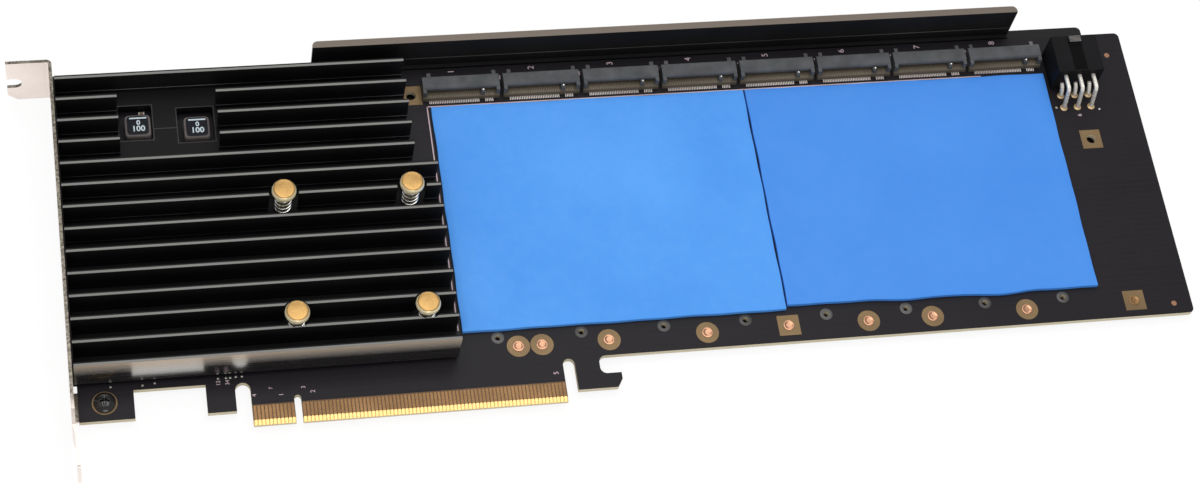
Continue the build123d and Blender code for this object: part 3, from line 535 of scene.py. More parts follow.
class CARD_OT_plating(bpy.types.Operator):
    """Gilds the contacts and pads, and adds dished copper studs, module rings and copper marks"""
    bl_idname = "card.plating"
    bl_label = "Plating"

    def execute(self, context):
        copper = plain_finish("bright_copper", colours().copper, 0.95, 0.24)
        material, tree, shader = new_finish("tongue_gold")
        grain, patches = speckle(tree, 2200.0, 90.0)
        # Painted highlight: the gold turns bright within 1.5 mm of the tongue's tip
        near_tip = less(tree, split(tree)[1], 1.5 * MM)
        worn = mottled(tree, patches, colours().gold, 0.62, 1.0)
        bright = blend(tree, near_tip, worn, rgba(colours().bright_gold))
        dress(tree, shader, bright, ranged(tree, grain, 0.26, 0.42), 0.85)
        bump(tree, shader, grain, 0.00002)
        finish(material, "edge_contacts_front", "edge_contacts_back")
        self.tips(material)
        olive = plain_finish("pad_plating", (0.19, 0.125, 0.06), 0.6, 0.42, tone=0.22)
        finish(olive, "square_pads", "round_pads")
        self.studs(copper)
        self.rings()
        self.marks(copper)
        return {"FINISHED"}

    def tips(self, gold):
        """Contact tips on the tongue's bevels: thin blocks whose height over the slope is
        z = face - depth (1 - y / rise), the same on the back turned over."""
        rise, depth, lift = 1.3 * MM, 0.4 * MM, 0.03 * MM
        y0, y1 = 0.08 * MM, rise + 0.02 * MM
        half = 0.35 * MM
        x = np.concatenate([-1.5 - np.arange(11), 1.5 + np.arange(71)]) * MM
        corners = np.array([[-half, y0], [half, y0], [half, y1], [-half, y1]])
        slope = -depth * (1 - np.minimum(corners[:, 1] / rise, 1))
        shapes = []
        for face, sign in ((0.0, 1), (node_box("circuit_board")[0][2], -1)):
            z = face + sign * slope
            lower = np.column_stack([corners, z - sign * 0.02 * MM])
            upper = np.column_stack([corners, z + sign * lift])
            block = np.concatenate([lower, upper]) if sign > 0 else np.concatenate([upper, lower])
            shapes.append(copies(block, BLOCK_SIDES, [(value, 0, 0) for value in x]))
        points, faces = joined(*shapes)
        make_object("contact_tips", points, faces, gold, "gold", smooth=False)

    def studs(self, copper):
        """Copper studs: rim at full height, and a dish z = top - depth (1 - (r / R) squared) inside it."""
        low, high = node_box("copper_studs")
        top, foot = high[2], low[2]
        radius, rim, dish_rim = 1.55 * MM, 1.32 * MM, 1.2 * MM
        r = np.linspace(0, dish_rim, 7)
        z = top - sizes().dish_depth * (1 - (r / dish_rim) ** 2)
        dish = np.stack([r, np.maximum(z, foot + 0.02 * MM)], axis=1)
        outside = [(rim, top), (radius - 0.03 * MM, top - 0.04 * MM), (radius, top - 0.09 * MM),
                   (radius, foot), (0.0, foot)]
        points, faces = turned(np.concatenate([dish, outside])[::-1], 40)
        gold = plain_finish("worn_gold", colours().gold, 0.85, 0.34, grain=1800, tone=0.2)
        places = stud_places()
        piece = make_object("copper_stud_set", *copies(points, faces, places[:-1]), copper, "copper")
        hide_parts("copper_studs")
        make_object("gilt_stud", *copies(points, faces, places[-1:]), gold, "copper")

    def rings(self):
        """Plated rings: a low rounded washer round each module's hole."""
        radius = sizes().ring_radius
        inner, top = 0.82 * MM, 0.06 * MM
        profile = [(inner, -0.25 * MM), (inner, top), (inner + 0.08 * MM, top * 1.3),
                   (radius - 0.1 * MM, top * 1.3), (radius, top * 0.4), (radius, 0.0)]
        points, faces = turned(profile[::-1], 36)
        offsets = [(x, 20.4 * MM, 0.0) for x in slot_centres()]
        points, faces = copies(points, faces, offsets)
        tin = plain_finish("ring_tin", (0.088, 0.084, 0.082), 0.6, 0.5, grain=5000, tone=0.35)
        make_object("module_hole_rings", points, faces, tin, "tin")

    def marks(self, copper):
        """Two round alignment marks: low discs."""
        profile = [(0.0, 0.04 * MM), (0.75 * MM, 0.04 * MM), (0.8 * MM, 0.0)]
        points, faces = turned(profile[::-1], 32)
        points, faces = copies(points, faces, [(249.6 * MM, 99.1 * MM, 0.0), (249.5 * MM, 16.0 * MM, 0.0)])
        make_object("alignment_marks", points, faces, copper, "copper")


def slot_centres():
    """X of each connector's module, read from the housings."""
    return [float(node_box(name)[0][0] + node_box(name)[1][0]) / 2 + SLOT_SHIFT for name in SLOT_NAMES]


def stud_places():
    """Centres of the copper studs, in the row below the pads."""
    first = slot_centres()[0]
    low, high = node_box("copper_studs")
    row = low[1] + 1.55 * MM
    steps = np.array([5.3, 11.8, 30.4, 58.0, 104.1, 122.7, 150.4]) * MM
    places = [(first + s, row, 0.0) for s in steps]
    return places + [(first + s, high[1] - 1.55 * MM, 0.0) for s in (81.2 * MM, 182.5 * MM)]


class CARD_OT_heatsink(bpy.types.Operator):
    """Finishes the black heatsink, with painted highlight lines along the fin tops and a milled pocket"""
    bl_idname = "card.heatsink"
    bl_label = "Heatsink"

    def execute(self, context):
        low, high = node_box("controller_heatsink")
        material = self.anodised(float(low[1]), float(high[2]))
        finish(material, "controller_heatsink")
        finish(plain_finish("chip_resin", (0.02, 0.02, 0.021), 0.0, 0.55), "switch_chip")
        soft = plain_finish("chip_pad_grey", (0.32, 0.33, 0.35), 0.0, 0.8, grain=900, depth=0.00006)
        finish(soft, "chip_thermal_pad")
        self.end_strip(low, high)
        self.bridges(low, high, material)
        return {"FINISHED"}

    def anodised(self, first, top):
        """Black finish with painted highlight lines along the fins' tops. The first fin's front is polished,
        and towards its top it turns warmer and less of a mirror, as a painted reflection."""
        tint = colours()
        material, tree, shader = new_finish("black_anodised_fins")
        streaks, patches = streaks_along(tree, 5000.0), speckle(tree, 4500.0, 35.0)[1]
        place, facing = split(tree), split(tree, "Normal")
        from_first = minus(tree, place[1], first)
        inner = more(tree, from_first, 1 * MM)
        outer = times(tree, less(tree, facing[1], -0.5), minus(tree, 1.0, inner))
        black = mottled(tree, patches, tint.black, 1.0, 1.6)
        # Painted highlights: pale lines on the pocket's steps and along the seam on the fins' sides
        worn = self.painted_step_highlights(tree, place, facing, inner, patches)
        black = blend(tree, worn, black, (0.40, 0.38, 0.37, 1))
        # Painted highlight: a pale line along the front of each fin top
        black = blend(tree, self.painted_fin_top_highlights(tree, from_first, streaks, top), black, rgba(tint.bare))
        # Painted reflection: the polished front turns from the sheen tint to a warm brown and loses its
        # mirror towards its top
        rise_from, rise_over = 6.3 * MM, 5.3 * MM
        rise = maths(tree, "DIVIDE", minus(tree, place[2], rise_from), rise_over, clamp=True)
        wall = blend(tree, rise, rgba(tint.sheen), (0.48, 0.39, 0.30, 1))
        shine = times(tree, outer, minus(tree, 1.0, times(tree, rise, 0.75)))
        plain = blend(tree, outer, (0.42, 0.42, 0.42, 1), (0.24, 0.24, 0.24, 1))
        rough = times(tree, ranged(tree, streaks, 0.8, 1.2), plain)
        dress(tree, shader, blend(tree, outer, black, wall), rough, shine, 0.08)
        bump(tree, shader, streaks, 0.000004, 0.2)
        return material

    def painted_fin_top_highlights(self, tree, from_first, streaks, top):
        """Mask of the thin painted highlight line along the front of each fin's top."""
        upper = upper_faces(tree, top - 0.4 * MM, 0.2 * MM)
        from_edge = maths(tree, "MODULO", from_first, sizes().fin_pitch)
        past_line = minus(tree, from_edge, sizes().fin_highlight_width)
        line = minus(tree, 1.0, maths(tree, "DIVIDE", past_line, 0.15 * MM, clamp=True))
        return times(tree, times(tree, upper, line), ranged(tree, streaks, 0.75, 1.0))

    def painted_step_highlights(self, tree, place, facing, inner, patches):
        """Mask of painted highlights: the pocket's lines, and a thin pale seam on the fins' sides that fades
        towards the front.
        """
        height, half, fade_from, fade_to = 5.1 * MM, 0.13 * MM, 48 * MM, 66 * MM
        seam = less(tree, away(tree, place[2], height), half)
        seam = times(tree, seam, ranged(tree, place[1], 0.12, 1.0, fade_from, fade_to))
        lines = maths(tree, "MAXIMUM", times(tree, seam, inner), self.pocket_step_highlights(tree, place, facing))
        return times(tree, lines, ranged(tree, patches, 0.1, 0.9))

    def pocket_step_highlights(self, tree, place, facing):
        """Mask of thin painted highlight lines on the pocket's floor, along the edges of its milled steps.
        Round each window it is 1 where the larger of |x - middle| and |y - middle|, each less the window's
        half side, is near 0.15 mm. One more line joins the windows."""
        side, gap, half_line = 3.55 * MM, 0.15 * MM, 0.14 * MM
        lines = 0.0
        windows = []
        for name, right in (("inductor_left", 0.5), ("inductor_right", 1.3)):
            centre = np.sum(node_box(name), axis=0) / 2
            x0, x1 = centre[0] - side - 1.6 * MM, centre[0] + side + right * MM
            y0, y1 = centre[1] - side - 0.5 * MM, centre[1] + side + 3.4 * MM
            windows.append((float(x0), float(x1), float(centre[1])))
            reach = []
            for axis, a, b in ((0, x0, x1), (1, y0, y1)):
                reach.append(minus(tree, away(tree, place[axis], float(a + b) / 2), float(b - a) / 2))
            near = away(tree, maths(tree, "MAXIMUM", reach[0], reach[1]), gap)
            lines = maths(tree, "MAXIMUM", lines, less(tree, near, half_line))
        start, end, level = windows[0][1], windows[1][0], windows[0][2] - 0.7 * MM
        across = less(tree, away(tree, place[1], level), half_line)
        across = times(tree, across, times(tree, more(tree, place[0], start), less(tree, place[0], end)))
        lines = times(tree, maths(tree, "MAXIMUM", lines, across), 0.2)
        on_floor = times(tree, less(tree, place[2], 4.2 * MM), more(tree, facing[2], 0.5))
        return times(tree, lines, on_floor)

    def bridges(self, low, high, material):
        """Thin bars that close the second fin's front face where the front pins' wells break through it."""
        foot, top = node_box("push_pins")
        front = low[1] + sizes().fin_pitch
        xs = np.array([foot[0] + PIN_RADIUS, top[0] - PIN_RADIUS])
        start = np.column_stack([xs - 0.9 * MM, np.full(2, front + 0.005 * MM), np.full(2, low[2] + 2 * MM)])
        end = np.column_stack([xs + 0.9 * MM, np.full(2, front + 0.4 * MM), np.full(2, high[2] - 0.005 * MM)])
        make_object("fin_bridges", *bars(start, end), material, "black_anodised", smooth=False)

    def end_strip(self, low, high):
        """Thin black strip closing the fins' left ends against the bracket: painted shade in the gap there.
        """
        # Painted shade: a nearly black sheet where the gap beside the bracket lies in shadow
        black = plain_finish("end_gap_painted_shade", (0.006, 0.005, 0.0045), 0.0, 0.5, grain=4000, tone=0.3,
                             specular=0.08)
        start = (low[0] - 0.42 * MM, low[1] + 0.1 * MM, low[2] + 0.3 * MM)
        end = (low[0] + 0.01 * MM, high[1] - 0.05 * MM, high[2] - 0.3 * MM)
        make_object("heatsink_end_strip", *bars(start, end), black, "black_anodised", smooth=False)


class CARD_OT_pins(bpy.types.Operator):
    """Turns the brass pins with rounded heads, and winds their springs"""
    bl_idname = "card.pins"
    bl_label = "Push pins and springs"

    def execute(self, context):
        low, high = node_box("push_pins")
        xs = (low[0] + PIN_RADIUS, high[0] - PIN_RADIUS)
        ys = (low[1] + PIN_RADIUS, high[1] - PIN_RADIUS)
        self.places = np.array([(x, y, 0.0) for x in xs for y in ys])
        self.pins(low[2], high[2])
        self.springs()
        return {"FINISHED"}

    def pins(self, foot, top):
        """Pin profile: slightly domed head z = top - crown (r / R) squared with a deep elliptic edge, a taper
        to the neck, the shank and the wider foot."""
        edge, drop, crown = 0.75 * MM, 1.35 * MM, 0.1 * MM
        neck, shank, wide_foot = 2.3 * MM, 1.5 * MM, 2.0 * MM
        flat_part = PIN_RADIUS - edge
        r = np.linspace(0, flat_part, 6)
        dome = np.stack([r, top - crown * (r / flat_part) ** 2], axis=1)
        t = np.linspace(0, math.pi / 2, 7)[1:]
        corner = np.stack([flat_part + edge * np.sin(t), top - crown - drop * (1 - np.cos(t))], axis=1)
        under = top - 2.4 * MM
        lower = [(PIN_RADIUS, under + 0.85 * MM), (PIN_RADIUS - 0.12 * MM, under + 0.6 * MM),
                 (neck + 0.1 * MM, under + 0.02 * MM), (neck, under), (shank, under),
                 (shank, foot + 1.5 * MM), (wide_foot, foot + 1.5 * MM), (wide_foot, foot + 0.1 * MM),
                 (wide_foot - 0.1 * MM, foot), (0.0, foot)]
        points, faces = turned(np.concatenate([dome, corner, lower])[::-1], 56)
        points, faces = copies(points, faces, self.places)
        piece = make_object("brass_pin_set", points, faces, self.brass(float(top)), "brass")
        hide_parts("push_pins")

    def brass(self, top):
        """Turned brass, with a painted highlight: paler and less of a mirror below the heads' faces."""
        material, tree, shader = new_finish("turned_brass")
        grain, patches = speckle(tree, 2600.0, 400.0)
        tone = mottled(tree, patches, colours().brass, 0.8, 1.0)
        # Painted highlight: the heads' rims below their faces are paler and less metallic
        flank_highlight = ranged(tree, split(tree)[2], 1.0, 0.0, top - 0.45 * MM, top - 0.2 * MM)
        tone = blend(tree, flank_highlight, tone, (1.0, 0.86, 0.55, 1))
        metallic = ranged(tree, flank_highlight, 0.9, 0.3, 0.0, 1.0)
        dress(tree, shader, tone, ranged(tree, grain, 0.24, 0.38), metallic)
        bump(tree, shader, grain, 0.00001, 0.3)
        return material

    def springs(self):
        """Spring line: (R cos t, R sin t, z) with z rising evenly, less over the closed turn at each end."""
        wire, turns, radius = sizes().spring_wire, sizes().spring_turns, 2.13 * MM
        low, high = node_box("pin_springs")
        s = np.linspace(0, 1, int(turns * 28))
        rise = np.clip((s - 0.06) / 0.88, 0, 1)
        t = s * turns * 2 * math.pi
        z0, z1 = low[2] + wire, high[2] - wire
        path = np.stack([radius * np.cos(t), radius * np.sin(t), z0 + (z1 - z0) * rise], axis=1)
        points, faces = copies(*swept(path, wire, 10), self.places)
        piece = make_object("spring_set", points, faces, bright_wire(), "spring_steel")
        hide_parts("pin_springs")


class CARD_OT_inductors(bpy.types.Operator):
    """Moulds the two square inductors, with a rounded top, a plain bar and plain numbers"""
    bl_idname = "card.inductors"
    bl_label = "Inductors"

    def execute(self, context):
        body = self.powder(float(node_box("inductor_left")[1][2]))
        ink = plain_finish("inductor_print", (0.58, 0.68, 0.74), 0.0, 0.6, grain=5000)
        for name in ("inductor_left", "inductor_right"):
            low, high = node_box(name)
            centre = (low + high) / 2
            half = (high - low) / 2
            points, faces = self.body(centre, half, low[2], high[2])
            piece = make_object(name + "_body", points, faces, body, "inductor_grey")
            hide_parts(name)
            self.print_on(name, centre, high[2], ink)
        return {"FINISHED"}

    def powder(self, top):
        """Pressed powder: dark on the flat top, paler on the rounded edges and sides."""
        material, tree, shader = new_finish("inductor_powder")
        grain, patches = speckle(tree, 2200.0, 300.0)
        side = blend(tree, patches, (0.12, 0.105, 0.102, 1), (0.22, 0.19, 0.185, 1))
        flat = blend(tree, patches, (0.006, 0.007, 0.010, 1), (0.011, 0.012, 0.017, 1))
        tone = blend(tree, upper_faces(tree, top - 0.10 * MM, 0.08 * MM), side, flat)
        dress(tree, shader, tone, ranged(tree, grain, 0.4, 0.55), specular=0.12)
        bump(tree, shader, grain, 0.00005)
        return material

    def body(self, centre, half, foot, top):
        """Rounded block: each ring is the curve |x|^n + |y|^n = 1 with n = 7, drawn in towards the top by a
        quarter-round, and closed at both ends."""
        t = np.linspace(0, 2 * math.pi, 64, endpoint=False)
        c, s = np.cos(t), np.sin(t)
        scale = (np.abs(c) ** 7 + np.abs(s) ** 7) ** (-1 / 7)
        outline = np.stack([c * scale, s * scale], axis=1)
        a = np.linspace(0, math.pi / 2, 6)
        edge = 0.85 * MM
        draw = np.concatenate([[half[0], 0.25 * MM, 0.1 * MM, 0.0], edge * (1 - np.cos(a)), [half[0]]])
        lower = [foot, foot, foot + 0.3 * MM, foot + 0.6 * MM]
        height = np.concatenate([lower, top - edge + edge * np.sin(a), [top]])
        shrink = (half[0] - draw) / half[0]
        xy = outline[None] * (half[:2][None, None] * shrink[:, None, None])
        z = np.broadcast_to(height[:, None, None], xy.shape[:2] + (1,))
        points = np.concatenate([xy, z], axis=2) + np.array([centre[0], centre[1], 0.0])
        return points.reshape(-1, 3), lattice(len(height), 64, wrap_columns=True)

    def print_on(self, name, centre, top, ink):
        """A bar across the middle, as a thin block, and plain numbers above and below it."""
        x, y = centre[0], centre[1]
        lift = 0.012 * MM
        low = [(x - 2.2 * MM, y + 2.05 * MM, top - 0.01 * MM)]
        high = [(x + 2.5 * MM, y + 2.5 * MM, top + lift)]
        points, faces = bars(low, high)
        make_object(name + "_bar", points, faces, ink, "inductor_grey", smooth=False)
        for end, text, dx, dy, size in (("low", "100", 0.15, -1.1, 1.8), ("high", "0", 0.2, 0.8, 1.5)):
            place = (x + dx * MM, y + dy * MM, top)
            write_number(f"{name}_number_{end}", text, place, size * MM, ink, bold=0.06 * MM)


def write_number(name, text, place, height, material, turn=0.0, bold=0.0):
    """Plain figures as a thin mesh, centred on a place, turned about Z and thickened by bold."""
    curve = bpy.data.curves.new(name, "FONT")
    curve.body = text
    curve.size = height * 1.35
    curve.extrude = 0.012 * MM
    curve.resolution_u = 3
    curve.offset = bold
    curve.align_x, curve.align_y = "CENTER", "CENTER"
    holder = bpy.data.objects.new(name + "_curve", curve)
    bpy.context.scene.collection.objects.link(holder)
    bpy.context.view_layer.update()
    mesh = bpy.data.meshes.new_from_object(holder.evaluated_get(bpy.context.evaluated_depsgraph_get()))
    bpy.data.objects.remove(holder)
    points = np.empty(len(mesh.vertices) * 3)
    mesh.vertices.foreach_get("co", points)
    points = points.reshape(-1, 3)
    c, s = math.cos(turn), math.sin(turn)
    x, y, z = points.T
    points = np.stack([x * c - y * s, x * s + y * c, z], axis=1) + np.array(place)
    mesh.vertices.foreach_set("co", points.ravel())
    mesh.materials.clear()
    mesh.materials.append(material)
    mesh.update()
    piece = bpy.data.objects.new(name, mesh)
    bpy.context.scene.collection.objects.link(piece)
    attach(piece, "root")
    return piece


class CARD_OT_connectors(bpy.types.Operator):
    """Finishes the module connectors and adds their rows of fine contacts and solder tabs"""
    bl_idname = "card.connectors"
    bl_label = "Module connectors"

    def execute(self, context):
        finish(self.moulding(), *SLOT_NAMES)
        self.contacts()
        self.glints()
        self.tabs()
        return {"FINISHED"}

    def moulding(self):
        """Grey moulding, browner on the lower jaw."""
        material, tree, shader = new_finish("connector_moulding")
        grain, patches = speckle(tree, 3000.0, 240.0)
        grey = mottled(tree, patches, colours().housing, 0.75, 1.2)
        jaw_top = 1.62 * MM
        tone = blend(tree, less(tree, split(tree)[2], jaw_top), grey, (0.115, 0.097, 0.072, 1))
        dress(tree, shader, tone, ranged(tree, grain, 0.42, 0.6), specular=0.15)
        bump(tree, shader, grain, 0.00003)
        return material

    def glints(self):
        """A small bright metal dot on each key: a low dome z = h (1 - (r / R) squared)."""
        r = np.linspace(0, 0.34 * MM, 5)
        profile = np.stack([r, 0.16 * MM * (1 - (r / r[-1]) ** 2)], axis=1)
        y = node_box("slot_1")[0][1] + 0.85 * MM
        offsets = [(x - SLOT_SHIFT + SLOT_KEY, y, 3.85 * MM) for x in slot_centres()]
        points, faces = copies(*turned(profile[::-1], 12), offsets)
        make_object("connector_glints", points, faces, bright_wire(), "tin")

    def contacts(self):
        """Contacts at an even pitch across each mouth, leaving out the key: blades on the lower jaw, blades
        under the upper jaw, and tails in front of and behind the housing."""
        gold = plain_finish("contact_gold", (0.22, 0.185, 0.14), 0.5, 0.42, tone=0.25)
        tin = plain_finish("tail_tin", (0.86, 0.76, 0.71), 0.25, 0.42, tone=0.2)
        pitch, half = sizes().contact_pitch, sizes().contact_width / 2
        steps = (np.arange(37) - 18) * pitch
        steps = steps[np.abs(steps - SLOT_KEY) > 0.85 * MM]
        inside = np.abs(steps + 1.0 * MM) < 6.9 * MM
        low, high = node_box("slot_1")
        front, rear, jaw = low[1], high[1], 1.55 * MM
        back = rear - 1.35 * MM
        blades, tails = [], []
        for centre in slot_centres():
            x = centre - SLOT_SHIFT + steps
            blades.append((x, front + 0.15 * MM, back, jaw, jaw + 0.14 * MM))
            blades.append((x, front + 1.75 * MM, back, 2.78 * MM, 3.02 * MM))
            tails.append((x, front - 0.95 * MM, front + 0.05 * MM, 0.0, 0.24 * MM))
            tails.append((x[inside], rear - 0.02 * MM, rear + 1.25 * MM, 0.0, 0.22 * MM))
        self.rows("module_contact_blades", blades, half, gold, "gold", "slot_contacts")
        self.rows("module_contact_tails", tails, half, tin, "tin")

    def rows(self, name, rows, half, material, slot, replaced=None):
        """One piece of all contacts: each row holds their middles, both ends along Y and both heights."""
        low, high = [], []
        for x, y0, y1, z0, z1 in rows:
            low.append(np.column_stack([x - half, np.full_like(x, y0), np.full_like(x, z0)]))
            high.append(np.column_stack([x + half, np.full_like(x, y1), np.full_like(x, z1)]))
        points, faces = soft_bars(np.concatenate(low), np.concatenate(high), 0.04 * MM)
        piece = make_object(name, points, faces, material, slot, smooth=False)
        if replaced:
            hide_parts(replaced)

    def tabs(self):
        """Dull tin on the solder tabs."""
        tin = plain_finish("hold_down_tin", (0.15, 0.145, 0.145), 0.6, 0.45, grain=3500, tone=0.3)
        finish(tin, "slot_hold_downs")


class CARD_OT_print(bpy.types.Operator):
    """Prints outlines round the pads and connectors, the slots' numbers and small ticks"""
    bl_idname = "card.print"
    bl_label = "Board print"

    def execute(self, context):
        ink = plain_finish("board_ink", colours().ink, 0.0, 0.7, grain=6000, tone=0.15)
        self.outlines(ink)
        self.numbers(ink)
        self.specks()
        return {"FINISHED"}

    def outlines(self, ink):
        """Lines beside and above the pads, and two ticks behind each connector, as thin blocks."""
        line, height = sizes().print_line, sizes().print_height
        low_pad = node_box("thermal_pad_left")[0]
        front, rear = (corner[1] for corner in node_box("slot_1"))
        left = low_pad[0] - 0.7 * MM
        top = front - 1.9 * MM
        runs = [
            (left - line, left, low_pad[1] + 1.0 * MM, top + line),
            (left - line, slot_centres()[-1] - 8 * MM, top, top + line),
        ]
        for x in slot_centres():
            for side in (-10.9 * MM, 11.4 * MM):
                runs.append((x + side, x + side + 0.2 * MM, rear + 0.3 * MM, rear + 1.6 * MM))
        x0, x1, y0, y1 = np.array(runs).T
        low = np.column_stack([x0, y0, np.zeros(len(runs))])
        high = np.column_stack([x1, y1, np.full(len(runs), height)])
        make_object("printed_outlines", *bars(low, high), ink, "solder_mask", smooth=False)

    def numbers(self, ink):
        """The connectors' numbers and small plain numbers on the board, all turned upright along Y."""
        turn = math.pi / 2
        y = node_box("slot_1")[1][1] + 3.7 * MM
        for n, x in enumerate(slot_centres(), 1):
            place = (x - 2.2 * MM, y, 0.0)
            write_number(f"slot_number_{n}", str(n), place, 1.9 * MM, ink, turn)
        for text, x, y, size in (("1", -4.2, 8.3, 1.3), ("2", 4.2, 8.6, 1.3), ("3", 1.8, 10.0, 1.2),
                                 ("4", -11.3, 8.7, 1.2), ("5", 70.0, 8.6, 1.4), ("6", 236.4, 79.2, 1.3),
                                 ("7", -6.8, 10.4, 1.0), ("12", -20.4, 13.0, 1.1), ("34", -18.0, 13.0, 1.1)):
            place = (x * MM, y * MM, 0.0)
            write_number(f"board_number_{text}", text, place, size * MM, ink, turn)

    def specks(self):
        """Small solder dots near the card's ends: low domes z = h (1 - (r / R) squared)."""
        tin = plain_finish("solder_tin", (0.42, 0.42, 0.38), 0.8, 0.42, grain=3500, tone=0.25)
        r = np.linspace(0, 0.36 * MM, 5)
        profile = np.stack([r, 0.12 * MM * (1 - (r / r[-1]) ** 2)], axis=1)
        places = [(-20.4, 14.35), (-18.3, 14.35), (-17.2, 14.35), (-15.7, 14.5), (-14.1, 14.5), (-40.2, 14.0),
                  (-37.0, 14.4), (-48.5, 14.2), (229.9, 82.2), (242.9, 80.9)]
        points, faces = copies(*turned(profile[::-1], 14), [(x * MM, y * MM, 0.0) for x, y in places])
        make_object("solder_dots", points, faces, tin, "tin")


class CARD_OT_soft_pads(bpy.types.Operator):
    """Lays the two soft blue pads, with wandering cut edges and a crowned, slightly uneven face"""
    bl_idname = "card.soft_pads"
    bl_label = "Soft pads"

    def execute(self, context):
        material = self.silicone()
        for index, name in enumerate(("thermal_pad_left", "thermal_pad_right")):
            low, high = node_box(name)
            points, faces = self.pad(low, high, index)
            piece = make_object(name + "_soft", points, faces, material, "thermal_blue", sharp=50.0)
            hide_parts(name)
        return {"FINISHED"}

    def silicone(self):
        """Soft blue with slow patches and fine specks, a little deeper on the right pad."""
        material, tree, shader = new_finish("soft_blue_pad")
        grain, patches = speckle(tree, 1600.0, 22.0)
        weave = cloud(tree, place_on(tree), 420.0, 5.0)
        base = colours().blue
        tone = blend(tree, ranged(tree, patches, 0.0, 1.0), shade(base, 0.82, 0.90, 0.95),
                     shade(base, 1.25, 1.08, 1.03))
        tone = blend(tree, times(tree, less(tree, grain, 0.34), 0.35), tone, shade(base, 0.8))
        start = float(node_box("thermal_pad_right")[0][0]) - 0.3 * MM
        second = more(tree, split(tree)[0], start)
        tone = blend(tree, second, tone, blend(tree, 0.5, tone, shade(base, 0.45, 0.62, 0.82)))
        dress(tree, shader, tone, ranged(tree, weave, 0.62, 0.8))
        bump(tree, shader, plus(tree, weave, grain), 0.00005, 0.35)
        return material

    def pad(self, low, high, index):
        """Sheet with soft edges. A grid of points is the top face, z = top less a few hundredths of a
        millimetre of slow waves, lower at its edge so that the edge is rounded. Its sides wander by sines
        along them, and the right pad's front also by two humps. The wall goes down round it, and the same
        grid closes the foot."""
        wave = sizes().pad_wave
        nx, ny = 92, 72
        x = np.linspace(0, 1, nx)
        y = np.linspace(0, 1, ny)
        u, v = np.meshgrid(x, y, indexing="ij")
        phase = 1.7 * index
        in_x = wave * (0.5 + 0.5 * np.sin(v * 9 + phase) * np.cos(v * 23 + 2 * phase))
        in_y = wave * (0.5 + 0.5 * np.sin(u * 11 + phase) * np.cos(u * 27 + phase))
        x_low, x_high = low[0] + in_x, high[0] - in_x * 0.9
        humps = 0.5 - 0.5 * np.cos(4 * math.pi * np.clip((u - 0.22) / 0.6, 0, 1))
        sag = index * MM * (1.2 - 0.8 * u - (0.1 + 1.05 * u) * humps)
        y_low, y_high = low[1] + in_y + sag, high[1] - in_y * 0.8
        top = high[2]
        near = np.minimum(np.minimum(u, 1 - u) * (nx - 1), np.minimum(v, 1 - v) * (ny - 1))
        drop = np.where(near < 0.5, 0.30, np.where(near < 1.5, 0.03, 0.0)) * MM
        px = x_low + (x_high - x_low) * u
        py = y_low + (y_high - y_low) * v
        ripple = 0.02 * MM * (np.sin(u * 17 + v * 5 + phase) + np.cos(v * 13 - u * 7))
        pz = top - drop - 0.045 * MM + ripple
        upper = np.stack([px, py, pz], axis=2)
        foot = upper.copy()
        foot[:, :, 2] = low[2]
        wall = upper.copy()
        wall[:, :, 2] = low[2] + (top - low[2]) * 0.45
        loop = np.concatenate([
            np.stack([np.arange(nx), np.zeros(nx, int)], axis=1),
            np.stack([np.full(ny - 1, nx - 1), np.arange(1, ny)], axis=1),
            np.stack([np.arange(nx - 2, -1, -1), np.full(nx - 1, ny - 1)], axis=1),
            np.stack([np.zeros(ny - 2, int), np.arange(ny - 2, 0, -1)], axis=1),
        ])
        edge_wall = wall[loop[:, 0], loop[:, 1]]
        edge_foot = foot[loop[:, 0], loop[:, 1]]
        points = np.concatenate([upper.reshape(-1, 3), edge_wall, edge_foot])
        count, start = len(loop), nx * ny
        flat = loop[:, 0] * ny + loop[:, 1]
        nxt = np.roll(np.arange(count), -1)
        here = np.arange(count)
        walls = np.concatenate([
            np.stack([start + here, start + nxt, flat[nxt], flat[here]], axis=1),
            np.stack([start + count + here, start + count + nxt, start + nxt, start + here], axis=1),
        ])
        grid = lattice(nx, ny)[:, ::-1]
        under = grid[:, ::-1]
        under_points = foot.reshape(-1, 3)
        points = np.concatenate([points, under_points])
        return points, np.concatenate([grid, walls, under + start + 2 * count])


